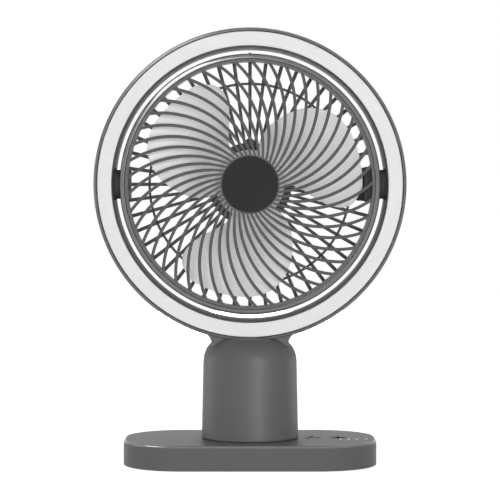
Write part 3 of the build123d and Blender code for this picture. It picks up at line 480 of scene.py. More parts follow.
def add_block(shape, halves, corner, heights, place=upright, edge=0, steps=block_steps):
    """Block with round corners between two heights; an edge radius makes its ends soft."""
    low, high = heights
    outline = [(0, low, edge), (0, high, edge)]
    if edge:
        end_inset = 2.5 * edge
        outline = [(end_inset, low, 0), *outline, (end_inset, high, 0)]
    add_stack(shape, soften(outline), partial(oblong, *halves, corner, steps), place)


print("points round an oblong:", len(oblong(2, 1, 0.5, corner_steps, inset=0)))

# %% [markdown]
# Every shape ends as a plain mesh: doubles merged, faces outwards, smooth but for its sharp edges. It
# then takes its finishes, rides on its body and stands in for the frame's own node.

# %% Finishing helpers
merge_distance = 0.001
crease_angle = math.radians(38)


def soft_mesh(shape, mesh):
    """Writes a shape to a mesh, smooth but for its sharp edges."""
    shape.to_mesh(mesh)
    shape.free()
    mesh.shade_smooth()
    mesh.set_sharp_from_angle(angle=crease_angle)
    return mesh


def tidy_mesh(name, shape):
    """Plain mesh from a shape: doubles merged and faces outwards."""
    bmesh.ops.remove_doubles(shape, verts=shape.verts, dist=merge_distance)
    bmesh.ops.recalc_face_normals(shape, faces=shape.faces)
    return soft_mesh(shape, bpy.data.meshes.new(name))


def stand(name, data):
    """Object from a mesh, a light or a camera, linked to the scene."""
    item = bpy.data.objects.new(name, data)
    scene.collection.objects.link(item)
    return item


def mark_faces(shape, first, finish_index):
    """Gives another of the piece's finishes to all faces from a number on."""
    for face in list(shape.faces)[first:]:
        face.material_index = finish_index


def show(name, shape, finishes, body, slot, *nodes):
    """Puts a finished shape in the scene, on its body, in place of the frame's nodes."""
    mesh = shape if isinstance(shape, bpy.types.Mesh) else tidy_mesh(name, shape)
    mesh.transform(Matrix.Scale(mm, 4))
    for finish in finishes:
        mesh.materials.append(finish)
    piece = stand(name, mesh)
    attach(piece, body)
    if nodes:
        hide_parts(*nodes)
    print(f"{name}: {len(mesh.polygons)} faces on {body}")
    return piece


print(f"edges over {math.degrees(crease_angle):.0f} degrees stay sharp")

# %% [markdown]
# The ring is a channel: a hoop with two walls, open to the front, where the milky cover is pressed in.
# It could be cut from a torus, but the lathe with a drawn section keeps every wall at its real
# thickness. The neck below is a plate whose flanks flare into the hoop, so it is a stack of its own
# outline: the outermost loops are pulled in, which rounds the long edges. A block under the plate goes
# into the column.

# %% Ring and neck
neck_half = 26
neck_flare = 8
neck_overlap = 0.4
bury_depth = 1.5
neck_foot = 79.2 - axis_height
flare_x = neck_half + neck_flare
flare_reach = ring_radius - neck_overlap + neck_flare
flare_middle = Vector((flare_x, -math.sqrt(flare_reach**2 - flare_x**2)))
buried = ring_radius - bury_depth
flare_steps = 14
bury_steps = 16


def neck_plan(inset):
    """Right half of the neck's outline and its mirror, pulled in by an inset."""
    side = [Vector((neck_half - inset, neck_foot)), Vector((neck_half - inset, flare_middle.y))]
    stop = math.atan2(-flare_middle.y, -flare_middle.x)
    for step in range(1, flare_steps + 1):
        angle = math.pi + (stop - math.pi) * step / flare_steps
        spoke = Vector((math.cos(angle), math.sin(angle))) * (neck_flare + inset)
        side.append(flare_middle + spoke)
    side = [spot if spot.length > buried else spot.normalized() * buried for spot in side]
    end = math.atan2(side[-1].y, side[-1].x)
    for step in range(1, bury_steps):
        angle = end + (-math.pi / 2 - end) * step / bury_steps
        side.append(Vector((math.cos(angle), math.sin(angle))) * buried)
    return side + [Vector((-spot.x, spot.y)) for spot in reversed(side)]


ring_section = [
    (91.3, -16, 0.6), (105, -16, 2.2), (105, 16, 2.2), (102.5, 16, 0.35), (102.5, -14, 0.4),
    (94, -14, 0.4), (94, 13.75, 0.2), (92.8, 13.75, 0.1), (92.8, 16, 0.2), (92.2, 16, 0.2),
]
bezel_inner = 102.4
neck_section = [(3.2, -13.5, 0), (0, -13.5, 3), (0, 13.5, 3), (3.2, 13.5, 0)]
ring_shape = turned(soften(ring_section), facing)
for face in ring_shape.faces:
    spot = face.calc_center_median()
    if math.hypot(spot.x, spot.z - axis_height) > bezel_inner:
        face.material_index = 2
add_stack(ring_shape, soften(neck_section), neck_plan, facing)
add_block(ring_shape, halves=(22, 12), corner=1, heights=(66, 79.4))
print("ring and neck:", len(ring_shape.faces), "faces so far")

# %% [markdown]
# On the inside of the ring two posts and two dark collars take the head's pivots. They are round about
# the side axis, so the lathe turns them there.

# %% Pivot seats on the ring
pivot_sides = [moved(z=axis_height) @ spun(degrees, "Y") for degrees in (90, -90)]
collar_section = [
    (10.2, 94.5, 0), (10.2, 90.5, 0.1), (10.6, 90.5, 0.1),
    (11.0, 91.1, 0.3), (13.2, 92.6, 0.2), (13.2, 94.5, 0),
]
for side in pivot_sides:
    add_post(ring_shape, side, radius=10.6, low=91.6, high=95.2, soft=0.3)
    collar_start = len(ring_shape.faces)
    add_turned(ring_shape, soften(collar_section), side, foot_turn)
    mark_faces(ring_shape, collar_start, finish_index=1)
ring_finishes = [casing_grey, pivot_black, bezel_grey]
ring_frame = show("ring_frame", ring_shape, ring_finishes, "column", "grey_casing", "ring_housing")

# %% [markdown]
# The milky cover closes the channel. Its face is flat and stands a little behind the bezel, with
# softly rounded edges, so a fine dark line shows between it and the bezel.

# %% Milky cover of the ring
cover_low, cover_high = box("light_diffuser")
cover_front, cover_back = -cover_low.y, -cover_high.y
cover_inner, cover_outer = 92.9, 102.4
back_round, front_round = 0.1, 0.5
cover_section = [
    (cover_inner, cover_back, back_round), (cover_outer, cover_back, back_round),
    (cover_outer, cover_front, front_round), (cover_inner, cover_front, front_round),
]
cover_shape = turned(soften(cover_section), facing)
show("ring_cover", cover_shape, [light_milk], "column", "milky_light", "light_diffuser")

# %% [markdown]
# The column has a recess for the ring, the base has small holes and the screws have a cross. A Boolean
# modifier cuts such forms exactly, where modelling them into the skin by hand would take many faces.
# The result is kept as a plain mesh, without the tiny faces that a cut can leave.

# %% Cutting helpers


def plain_copy(item):
    """Mesh that an object's modifiers make; the object is removed."""
    view = bpy.context.evaluated_depsgraph_get()
    made = bpy.data.meshes.new_from_object(item.evaluated_get(view))
    item.modifiers.clear()
    bpy.data.objects.remove(item)
    return made


def cut(mesh, tool):
    """Mesh with a shape cut away from it."""
    work = stand("work", mesh)
    cutter = stand("cutter", tidy_mesh("cutter", tool))
    step = work.modifiers.new("cut", "BOOLEAN")
    step.operation = "DIFFERENCE"
    step.solver = "EXACT"
    step.object = cutter
    made = plain_copy(work)
    bpy.data.objects.remove(cutter)
    shape = bmesh.new()
    shape.from_mesh(made)
    bmesh.ops.dissolve_degenerate(shape, edges=shape.edges, dist=merge_distance)
    return soft_mesh(shape, made)


print("a cut leaves no edge under", merge_distance, "mm")

# %% [markdown]
# The column is a turned shell. Its dome is a little fuller than a quarter circle, so it follows a
# superellipse. The ring and its neck sit in a recess of the dome, so two solids are cut away: a block
# for the neck and a short drum for the ring. The edges that the cuts make are crisp, as they are on
# the moulding. The drum is turned by half a step, so that its points don't fall on the middle line.

# %% Column
dome_steps = 28
dome_middle = 13.5
dome_base = 68.9
outer_dome, outer_fullness = 18.2, 2.2
inner_dome, inner_fullness = 16, 2.0
column_foot = 17.95
foot_corners = [(30.5, column_foot, 0.2), (32.7, column_foot, 1.2), (31.7, dome_base, 0)]


def dome_row(radius, fullness):
    """Points of a dome from its wall up to its flat top."""
    row = []
    for step in range(dome_steps + 1):
        angle = math.pi / 2 * step / dome_steps
        out = radius * math.cos(angle) ** (2 / fullness)
        up = radius * math.sin(angle) ** (2 / fullness)
        row.append((dome_middle + out, dome_base + up, 0.0))
    return row + [(0, dome_base + radius, 0.0)]


column_outline = [(u, v, 0.0) for u, v, _ in soften(foot_corners)[:-1]]
column_outline += dome_row(outer_dome, outer_fullness)
column_outline += reversed(dome_row(inner_dome, inner_fullness))
column_mesh = tidy_mesh("column_body", turned(column_outline, upright))
neck_slot = new_shape()
add_block(neck_slot, halves=(26.1, 13.6), corner=3.1, heights=(79.1, 100))
ring_drum = new_shape()
drum_place = facing @ spun(180 / fine_turn, "Z")
add_post(ring_drum, drum_place, radius=105.1, low=-16.1, high=16.1, soft=0, segments=fine_turn)
column_mesh = cut(cut(column_mesh, neck_slot), ring_drum)
column_body = show("column_body", column_mesh, [casing_grey], "column", "grey_casing", "column_shell")

# %% [markdown]
# The base is one deep lid: a flat top, a round shoulder and a wall, hollow below. One oblong stacked
# over a section makes the whole skin, and a Boolean cuts the small holes for the lights and the mouth
# of the charging socket. The shoulder is polished, so it gets its own finish.

# %% Base casing
base_half_x, base_half_y = 85.25, 49
base_corner = 40
base_top = 17.8
edge_round = 1.6
base_section = [
    (14, 15.6, 0), (2.2, 15.6, 0.5), (2.2, 0.8, 0.2),
    (0, 0.8, 0.8), (0, base_top, edge_round), (14, base_top, 0),
]
base_plan = partial(oblong, base_half_x, base_half_y, base_corner, corner_steps)
base_shape = new_shape()
add_stack(base_shape, soften(base_section), base_plan)

light_low, light_high = box("charge_lights")
power_low, power_high = box("power_light")
light_radius = (light_high.y - light_low.y) / 2
light_step = 5.5
light_spots = [(light_low.x + light_radius + light_step * i, light_low.y + light_radius) for i in range(3)]
light_spots.append(((power_low.x + power_high.x) / 2, (power_low.y + power_high.y) / 2))
hole_radius = light_radius + 0.1
holes = new_shape()
for x, y in light_spots:
    add_post(holes, moved(x, y), hole_radius, low=10, high=20, soft=0, segments=lens_turn)
inlet_low, inlet_high = box("usb_socket")
inlet = moved((inlet_low.x + inlet_high.x) / 2, 0, (inlet_low.z + inlet_high.z) / 2) @ spun(-90, "X")
add_block(holes, halves=(4.77, 1.93), corner=1.6, heights=(45, 51), place=inlet)
base_mesh = cut(tidy_mesh("base_casing", base_shape), holes)
for face in base_mesh.polygons:
    past_x = max(0, abs(face.center.x) - base_half_x + base_corner)
    past_y = max(0, abs(face.center.y) - base_half_y + base_corner)
    if math.hypot(past_x, past_y) > base_corner - edge_round and face.center.z > base_top - edge_round:
        face.material_index = 1
base_casing = show("base_casing", base_mesh, [casing_grey, band_grey], "base", "grey_casing", "base_shell")

# %% [markdown]
# The head's band carries both guards and hangs on two side bosses. The bosses are dark, so they keep a
# second finish. The small nub on top is a block with soft ends.

# %% Band of the fan head
band_section = [
    (84, -18, 0.12), (87.4, -18, 3.1), (87.4, 18, 3.1), (84, 18, 0.12),
    (84, 3, 0), (82.7, 3, 0.3), (82.9, -3, 0.3), (84, -3, 0),
]
band_shape = turned(soften(band_section), facing)
small_steps = 6
add_soft_block = partial(add_block, steps=small_steps)
nub_place = facing @ moved(x=0.1, y=87.3)
nub_sizes = {"halves": (1.1, 0.75), "corner": 0.4, "heights": (10.5, 14.9), "edge": 0.2}
add_soft_block(band_shape, **nub_sizes, place=nub_place)
boss_start = len(band_shape.faces)
for side in pivot_sides:
    add_post(band_shape, side, radius=9.8, low=85.7, high=91, soft=0.5)
mark_faces(band_shape, boss_start, finish_index=1)
head_rim = show("head_rim", band_shape, [band_grey, pivot_black], "head", "grey_casing", "head_band")

# %% [markdown]
# Ribs, blades, screws and feet repeat, so Geometry Nodes make them: one tree for each kind, with named
# inputs for its sizes. The tree runs on a helper object, and what it makes is kept as a plain mesh.

# %% Geometry Nodes helpers
socket_kinds = {int: "Int", float: "Float", Vector: "Vector"}
socket_kinds.update({bpy.types.Material: "Material", bpy.types.Object: "Object"})


def new_recipe(name, sizes):
    """Tree with a named input for each size: the tree, its inputs and two helpers that add to it."""
    tree = bpy.data.node_groups.new(name, "GeometryNodeTree")
    tree.interface.new_socket("Geometry", in_out="OUTPUT", socket_type="NodeSocketGeometry")
    tree.interface.new_socket("Places", in_out="INPUT", socket_type="NodeSocketGeometry")
    for label, value in sizes.items():
        kind = "NodeSocket" + socket_kinds[type(value)]
        tree.interface.new_socket(label, in_out="INPUT", socket_type=kind)
    return tree, tree.nodes.new("NodeGroupInput").outputs, partial(put, tree), partial(maths, tree)


def end_recipe(tree, points, shape, angle, finish):
    """Ends a tree: a turned copy on every point, made real, then the finish, then the way out."""
    turn = put(tree, "ShaderNodeCombineXYZ", {"Z": angle})
    spin = put(tree, "FunctionNodeEulerToRotation", {"Euler": turn})
    values = {"Points": points, "Instance": shape, "Rotation": spin}
    copies = put(tree, "GeometryNodeInstanceOnPoints", values)
    real = put(tree, "GeometryNodeRealizeInstances", {"Geometry": copies})
    painted = put(tree, "GeometryNodeSetMaterial", {"Geometry": real, "Material": finish})
    put(tree, "NodeGroupOutput", {0: painted})


def end_in_circle(tree, shape, size):
    """Ends a tree with copies of a shape in equal turns about the upright axis."""
    points = put(tree, "GeometryNodePoints", {"Count": size["Count"]})
    index = put(tree, "GeometryNodeInputIndex")
    angle = maths(tree, "MULTIPLY", index, maths(tree, "DIVIDE", math.tau, size["Count"]))
    end_recipe(tree, points, shape, angle, size["Finish"])
    print(tree.name, "has", len(tree.nodes), "nodes")


def add_grown(shape, place, tree, sizes, spots=(), finishing=()):
    """Adds what a tree and any finishing modifiers make, in the shape's first finish."""
    points = bpy.data.meshes.new("points")
    points.from_pydata([tuple(spot) for spot in spots], [], [])
    holder = stand("holder", points)
    step = holder.modifiers.new("recipe", "NODES")
    step.node_group = tree
    for socket in tree.interface.items_tree:
        if socket.in_out == "INPUT" and socket.name in sizes:
            step[socket.identifier] = sizes[socket.name]
    for kind, options in finishing:
        extra = holder.modifiers.new(kind, kind)
        for key, value in options.items():
            setattr(extra, key, value)
    made = plain_copy(holder)
    for face in made.polygons:
        face.material_index = 0
    made.transform(place)
    shape.from_mesh(made)


def soft_bar(tree, width, depth, edge):
    """Profile of a rib: an oblong with round corners."""
    bar = put(tree, "GeometryNodeCurvePrimitiveQuadrilateral", {"Width": width, "Height": depth})
    values = {"Curve": bar, "Count": 3, "Radius": edge, "Limit Radius": True}
    return put(tree, "GeometryNodeFilletCurve", values, mode="POLY")


print("kinds of input:", list(socket_kinds.values()))

# %% [markdown]
# The front guard has 45 curved ribs on a bowed face. One rib is an arc, lifted onto a large ball and
# swept with a soft bar that is thinner at its root; the rest are turned copies. The count, the curve
# and the bar's size stay numbers that can be changed later.

# %% Tree for curved ribs


def polar(radius, degrees, height=0.0):
    """Point at a radius and an angle in the fan's own plane."""
    angle = math.radians(degrees)
    return Vector((radius * math.cos(angle), radius * math.sin(angle), height))


rib_sizes = {
    "Count": 45,
    "Root": polar(19.05, 0),
    "Middle": polar(50.875, 22.6),
    "Tip": polar(82.7, 41.2),
    "Ball Middle": -507.83,
    "Ball Radius": 531.2,
    "Width": 2.1,
    "Depth": 2.6,
    "Edge Round": 0.45,
    "Root Share": 0.66,
    "Swell From": 20.0,
    "Swell To": 33.0,
    "Finish": guard_grey,
}
curved_ribs, size, add, work = new_recipe("curved_ribs", rib_sizes)
arc_ends = {"Start": size["Root"], "Middle": size["Middle"], "End": size["Tip"]}
arc = add("GeometryNodeCurveArc", {"Resolution": 36, **arc_ends}, "Curve", mode="POINTS")
spot = add("GeometryNodeInputPosition")
reach = add("ShaderNodeVectorMath", {0: spot, 1: spot}, "Value", operation="DOT_PRODUCT")
ball = work("SUBTRACT", size["Ball Radius"], work("MULTIPLY", size["Depth"], 0.5))
rise = work("SQRT", work("SUBTRACT", work("MULTIPLY", ball, ball), reach))
lift = add("ShaderNodeCombineXYZ", {"Z": work("ADD", size["Ball Middle"], rise)})
bowed = add("GeometryNodeSetPosition", {"Geometry": arc, "Offset": lift})
level = add("GeometryNodeSetCurveNormal", {"Curve": bowed}, mode="Z_UP")
flat = add("ShaderNodeVectorMath", {0: spot, 1: (1, 1, 0)}, operation="MULTIPLY")
out = add("ShaderNodeVectorMath", {0: flat}, "Value", operation="LENGTH")
swell = ramp(curved_ribs, out, size["Root Share"], 1.0, size["Swell From"], size["Swell To"])
bar = soft_bar(curved_ribs, size["Width"], size["Depth"], size["Edge Round"])
sweep = {"Curve": level, "Profile Curve": bar, "Scale": swell, "Fill Caps": True}
end_in_circle(curved_ribs, add("GeometryNodeCurveToMesh", sweep), size)

# %% [markdown]
# The ribs run from a cup in the middle, which holds the cap, to a rim that is pressed into the head's
# band. Cup and rim are turned, and each has its own finish.

# %% Front guard
rim_section = [(82, 3, 0), (83.9, 3, 0), (83.9, 17, 0.15), (82, 17, 0.35)]
cup_section = [
    (0, 19.3, 0), (19.75, 19.3, 0.3), (19.75, 23, 0.25), (19, 23, 0.2), (19, 21.1, 0), (0, 21.1, 0),
]
guard_shape = turned(soften(rim_section), facing)
mark_faces(guard_shape, 0, finish_index=1)
cup_start = len(guard_shape.faces)
add_turned(guard_shape, soften(cup_section), facing, hub_turn)
mark_faces(guard_shape, cup_start, finish_index=2)
add_grown(guard_shape, facing, curved_ribs, rib_sizes)
guard_finishes = [guard_grey, bezel_grey, band_grey]
show("front_guard", guard_shape, guard_finishes, "head", "grey_grille", "front_grille")

# %% [markdown]
# The dark cap in the middle has a low crown. A curved top catches the light in one broad soft patch,
# where a flat one would look like a hole.

# %% Centre cap
cap_radius = 18.9
cap_foot, cap_rim = 21.1, 23
crown_radius = cap_radius - 0.9
crown_rise = 0.5
crown_steps = 12
cap_section = [(0, cap_foot, 0), (cap_radius, cap_foot, 0.1), (cap_radius, cap_rim, 0.5), (0, cap_rim, 0)]
cap_outline = soften(cap_section)[:-1]
for step in range(1, crown_steps + 1):
    share = 1 - step / crown_steps
    cap_outline.append((crown_radius * share, cap_rim + crown_rise * (1 - share**2), 0.0))
cap_shape = turned(cap_outline, facing, hub_turn)
show("centre_cap", cap_shape, [trim_black], "head", "dark_trim", "grille_cap")

# %% [markdown]
# On the right a dark box takes the motor's lead from the rear guard to the pivot. It stands outside the
# blades' tips, and a thin skirt at its foot runs inwards behind them. All are blocks with soft ends.

# %% Cover of the motor's lead
lead_low, lead_high = box("lead_box")
lead_front, lead_back = -lead_low.y, -lead_high.y
lead_half = (lead_high.z - lead_low.z) / 2
lead_outer = 83
lead_blocks = (
    (lead_low.x, lead_outer, lead_front - 2, lead_half),
    (79.6, lead_outer, lead_front, lead_half - 0.8),
    (72.5, 80, lead_back + 3.8, lead_half - 0.6),
)
lead_shape = new_shape()
for inner, outer, front, half in lead_blocks:
    place = facing @ moved((inner + outer) / 2)
    halves = ((outer - inner) / 2, half)
    add_soft_block(lead_shape, halves, corner=1.2, heights=(lead_back, front), place=place, edge=0.5)
show("lead_cover", lead_shape, [pivot_black], "head", "dark_trim", "lead_box")

# %% [markdown]
# The rear guard is plainer: 48 straight ribs that widen outwards. The same soft bar is swept along a
# straight line and then widened by its distance from the middle.

# %% Tree for straight ribs
straight_sizes = {
    "Count": 48,
    "Root Radius": 27.8,
    "Tip Radius": 83.7,
    "Height": -15.5,
    "Root Width": 1.95,
    "Tip Width": 2.55,
    "Depth": 3.0,
    "Edge Round": 0.4,
    "Finish": guard_grey,
}
straight_ribs, size, add, work = new_recipe("straight_ribs", straight_sizes)
start = add("ShaderNodeCombineXYZ", {"X": size["Root Radius"], "Z": size["Height"]})
end = add("ShaderNodeCombineXYZ", {"X": size["Tip Radius"], "Z": size["Height"]})
line = add("GeometryNodeCurvePrimitiveLine", {"Start": start, "End": end})
line = add("GeometryNodeSetCurveNormal", {"Curve": line}, mode="Z_UP")
bar = soft_bar(straight_ribs, size["Root Width"], size["Depth"], size["Edge Round"])
rib = add("GeometryNodeCurveToMesh", {"Curve": line, "Profile Curve": bar, "Fill Caps": True})
parts = add("ShaderNodeSeparateXYZ", {0: add("GeometryNodeInputPosition")}).node.outputs
growth = work("DIVIDE", size["Tip Width"], size["Root Width"])
widen = ramp(straight_ribs, parts["X"], 1.0, growth, size["Root Radius"], size["Tip Radius"])
wide = {"X": parts["X"], "Y": work("MULTIPLY", parts["Y"], widen), "Z": parts["Z"]}
values = {"Geometry": rib, "Position": add("ShaderNodeCombineXYZ", wide)}
end_in_circle(straight_ribs, add("GeometryNodeSetPosition", values), size)

# %% [markdown]
# Besides its ribs the rear guard has a rim, one hoop and a plate with four bosses for the motor, all
# turned, and a thin pad that closes the left pivot.

# %% Rear guard
rear_rim = [(83.4, -17, 0.1), (83.9, -17, 0.3), (83.9, -3, 0), (82.9, -3, 0)]
rear_hoop = [(67.75, -17, 0.4), (69.45, -17, 0.4), (69.45, -14, 0.4), (67.75, -14, 0.4)]
rear_plate = [(0, -17, 0), (28.5, -17, 0.3), (28.5, -14.5, 0.3), (0, -14.5, 0)]
boss_circle = 28.5
boss_radius = 3.1
boss_places = [facing @ Matrix.Translation(polar(boss_circle, 90 * i)) for i in range(4)]
pad_outer, pad_inner = -82.05, -80.5
pad_place = facing @ moved((pad_outer + pad_inner) / 2)
pad_halves = ((pad_inner - pad_outer) / 2, 10.4)
rear_shape = new_shape()
for corners, segments in ((rear_rim, fine_turn), (rear_hoop, fine_turn), (rear_plate, hub_turn)):
    add_turned(rear_shape, soften(corners), facing, segments)
for place in boss_places:
    add_post(rear_shape, place, boss_radius, low=-17, high=-11)
add_soft_block(rear_shape, pad_halves, corner=0.6, heights=(-9, 2.9), place=pad_place, edge=0.2)
add_grown(rear_shape, facing, straight_ribs, straight_sizes)
show("rear_guard", rear_shape, [guard_grey], "head", "grey_grille", "rear_grille")

# %% [markdown]
# The rotor's three blades are twisted. A blade follows a rule: at each radius it runs from a leading
# angle to a trailing angle and climbs on the way. So a flat grid is bent by that rule, with two drawn
# curves for the edges.

# %% Tree for twisted blades
blade_sizes = {
    "Count": 3,
    "Root Radius": 22.4,
    "Tip Radius": 76.4,
    "Low": -6.8,
    "Climb": 13.6,
    "Camber": 1.6,
    "Finish": rotor_pale,
}
twisted_blades, size, add, work = new_recipe("twisted_blades", blade_sizes)
lead_angle, trail_angle = -15.0, 76.5
climb_end = 76.0
tip_crowding = 1.6
lead_edge = [
    (0, -0.5), (0.135, -2), (0.305, -8.5), (0.504, -13.8),
    (0.716, -15), (0.9, -10.5), (0.965, -5.2), (1, -1),
]
trail_edge = [(0, 76.5), (0.249, 75), (0.461, 67), (0.759, 54), (0.90, 45.0), (0.965, 38), (1, 27)]


def edge_curve(share, rows):
    """Angle of a blade's edge at a share of the way out, from a drawn curve."""
    node = add("ShaderNodeFloatCurve", {"Value": share}).node
    rows = [(place, (angle - lead_angle) / (trail_angle - lead_angle)) for place, angle in rows]
    drawn = node.mapping.curves[0]
    for row in rows[1:-1]:
        drawn.points.new(*row)
    drawn.points[0].location = rows[0]
    drawn.points[-1].location = rows[-1]
    node.mapping.update()
    return ramp(twisted_blades, node.outputs[0], math.radians(lead_angle), math.radians(trail_angle))


cells = {"Size X": 1.0, "Size Y": 1.0, "Vertices X": 25, "Vertices Y": 49}
grid = add("GeometryNodeMeshGrid", cells, "Mesh")
parts = add("ShaderNodeSeparateXYZ", {0: add("GeometryNodeInputPosition")}).node.outputs
across = work("ADD", parts["X"], 0.5)
share = work("SUBTRACT", 1.0, work("POWER", work("SUBTRACT", 0.5, parts["Y"]), tip_crowding))
angle = ramp(twisted_blades, across, edge_curve(share, lead_edge), edge_curve(share, trail_edge))
radius = ramp(twisted_blades, share, size["Root Radius"], size["Tip Radius"])
span = {"start": math.radians(lead_angle), "stop": math.radians(climb_end)}
along = ramp(twisted_blades, angle, 0.0, 1.0, **span, clamp=False)
off_middle = work("SUBTRACT", work("MULTIPLY", along, 2.0), 1.0)
bow = work("SUBTRACT", 1.0, work("MULTIPLY", off_middle, off_middle))
climb = work("ADD", size["Low"], work("MULTIPLY", size["Climb"], along))
bent = {
    "X": work("MULTIPLY", radius, work("COSINE", angle)),
    "Y": work("MULTIPLY", radius, work("SINE", angle)),
    "Z": work("ADD", climb, work("MULTIPLY", size["Camber"], bow)),
}
values = {"Geometry": grid, "Position": add("ShaderNodeCombineXYZ", bent)}
end_in_circle(twisted_blades, add("GeometryNodeSetPosition", values), size)

# %% [markdown]
# The blades come out of the tree without thickness. Two modifiers thicken and smooth them, and the
# cup-shaped hub is turned.

# %% Rotor
hub_section = [(0, 10, 0), (23.3, 10, 2.5), (23.3, -9, 0.3), (21.6, -9, 0.3), (21.6, 8.3, 0.5), (0, 8.3, 0)]
thick_and_soft = (
    ("SOLIDIFY", {"thickness": 1.6, "offset": 0.0}),
    ("SUBSURF", {"levels": 1, "render_levels": 1}),
)
rotor_shape = turned(soften(hub_section), facing, hub_turn)
add_grown(rotor_shape, facing, twisted_blades, blade_sizes, finishing=thick_and_soft)
show("rotor_blades", rotor_shape, [rotor_pale], "rotor", "pale_rotor", "impeller")

# %% [markdown]
# Behind the motor sits a dished cover with four ears, which sit on the bosses of the rear guard. Dish
# and ears are turned.

# %% Rear cover
dish_section = [
    (0, -20.6, 0), (23.8, -20.6, 1.2), (23.8, -18.6, 0.2), (28.5, -18.6, 0.4),
    (28.5, -17, 0.1), (22.2, -17, 0), (22.2, -19, 0.5), (0, -19, 0),
]
dish_shape = turned(soften(dish_section), facing, hub_turn)
for place in boss_places:
    add_post(dish_shape, place, boss_radius, low=-18.6, high=-17, soft=0.3)
show("rear_cover", dish_shape, [guard_grey], "head", "grey_grille", "motor_cover")

# %% [markdown]
# Four screws hold the rear cover, and four larger ones hold the plate under the base. A screw is turned
# once, with rings for its thread and a cross pressed into its head, and a small tree sets a copy at
# every place, each with its own chance turn.

# %% Screws
screw_turn = 3.1
thread_pitch = 0.9


def cross_screw(radius, height, shank, length):
    """Pan-head screw with a cross in its head; the head's seat is at zero, the shank points down."""
    head = [(0, height, 0), (radius, height, 0.55 * height), (radius, 0, 0.1), (shank, 0, 0)]
    outline = soften(head)
    for i in range(int((length - shank) / thread_pitch)):
        outline.append((shank, -thread_pitch * (i + 0.3), 0.0))
        outline.append((0.78 * shank, -thread_pitch * (i + 0.8), 0.0))
    outline += [(0.6 * shank, -length + 0.5 * shank, 0.0), (0, -length, 0.0)]
    mesh = tidy_mesh("screw", turned(outline, upright, small_turn))
    for degrees in (0, 90):
        bit = new_shape()
        halves = (0.62 * radius, 0.14 * radius)
        depths = (0.45 * height, 1.5 * height)
        add_block(bit, halves, 0.05 * radius, depths, spun(degrees, "Z"), steps=3)
        mesh = cut(mesh, bit)
    return mesh


def scatter(mesh, spots, place, most_turn, finish):
    """Shape with a copy of a piece at every spot, then moved to its place."""
    source = bpy.data.objects.new("source", mesh)
    sizes = {"Piece": source, "Most Turn": most_turn, "Turn Seed": 7, "Finish": finish}
    tree, size, add, _ = new_recipe("set_at_places", sizes)
    piece = add("GeometryNodeObjectInfo", {"Object": size["Piece"]}, "Geometry")
    limits = {3: size["Most Turn"], "Seed": size["Turn Seed"]}
    chance = add("FunctionNodeRandomValue", limits, 1, data_type="FLOAT")
    end_recipe(tree, size["Places"], piece, chance, size["Finish"])
    shape = new_shape()
    add_grown(shape, place, tree, sizes, spots)
    bpy.data.objects.remove(source)
    return shape


def four_corners(node, radius, height):
    """Middles of four equal round pieces from the box round them."""
    high = box(node)[1]
    x, y = high.x - radius, high.y - radius
    return [Vector((sx * x, sy * y, height)) for sx in (1, -1) for sy in (1, -1)]


backward = facing @ spun(180, "X")
cover_spots = [polar(boss_circle, 90 * i, 18.6) for i in range(4)]
cover_screw = cross_screw(radius=2.3, height=1.3, shank=1.1, length=6)
cover_heads = scatter(cover_screw, cover_spots, backward, screw_turn, screw_steel)
show("cover_heads", cover_heads, [screw_steel], "head", "screw_steel", "cover_screws")

downward = spun(180, "X")
head_radius = 2.8
base_spots = four_corners("base_screws", head_radius, height=-2.3)
base_screw = cross_screw(head_radius, height=1.5, shank=1.4, length=9)
base_heads = scatter(base_screw, base_spots, downward, screw_turn, screw_steel)
show("base_heads", base_heads, [screw_steel], "base", "screw_steel", "base_screws")

# %% [markdown]
# Four rubber feet stand under the base. A foot is a low turned disc with a shallow dish, so that it
# grips with a ring, and the tree for the screws sets the four copies too, without a turn.

# %% Feet
foot_radius, foot_height = 6, 1.6
foot_section = [
    (0, 0, 0), (foot_radius, 0, 0.1), (foot_radius, foot_height, 0.5),
    (3.9, foot_height, 0.2), (3.5, 1.3, 0.2), (0, 1.3, 0),
]
foot_mesh = tidy_mesh("foot", turned(soften(foot_section), upright, foot_turn))
foot_spots = four_corners("base_feet", foot_radius, -foot_height)
feet = scatter(foot_mesh, foot_spots, downward, most_turn=0.0, finish=foot_rubber)
show("soft_feet", feet, [foot_rubber], "base", "foot_rubber", "base_feet")

# %% [markdown]
# The four small lights are clear rods that end in a low dome on the base's top. The dome matters: from
# eye level a flat end would be a thin line, and a dome stays a bright dot.

# %% Small lights
lens_rise = 0.45
lens_steps = 8


def lens_rods(spots, foot):
    """Shape with a clear rod at every spot, each with a domed end."""
    outline = [(0, foot, 0.0), (light_radius, foot, 0.0)]
    for step in range(lens_steps + 1):
        angle = math.pi / 2 * step / lens_steps
        outline.append((light_radius * math.cos(angle), base_top + lens_rise * math.sin(angle), 0.0))
    shape = new_shape()
    for x, y in spots:
        add_turned(shape, outline, moved(x, y), lens_turn)
    return shape


green_rods = lens_rods(light_spots[:3], light_low.z)
show("charge_lenses", green_rods, [charge_green], "base", "green_lens", "charge_lights")
blue_rod = lens_rods(light_spots[3:], power_low.z)
show("power_lens", blue_rod, [power_blue], "base", "blue_lens", "power_light")

# %% [markdown]
# Two touch keys are only printed marks on the base: a small three-bladed fan and a small lamp with
# rays. They are thin flat pieces on the top, drawn from outlines.

# %% Key marks
print_heights = (base_top - 0.1, base_top + 0.03)
pads_low, pads_high = box("touch_pads")
key_radius = (pads_high.y - pads_low.y) / 2
fan_x, lamp_x = pads_low.x + key_radius, pads_high.x - key_radius
mark_shape = new_shape()


def add_print(outline, x, degrees=0):
    """Thin flat print with an outline turned about a point of the middle line."""
    stack = [(0, height, 0.0) for height in print_heights]
    add_stack(mark_shape, stack, lambda inset: outline, moved(x) @ spun(degrees, "Z"))


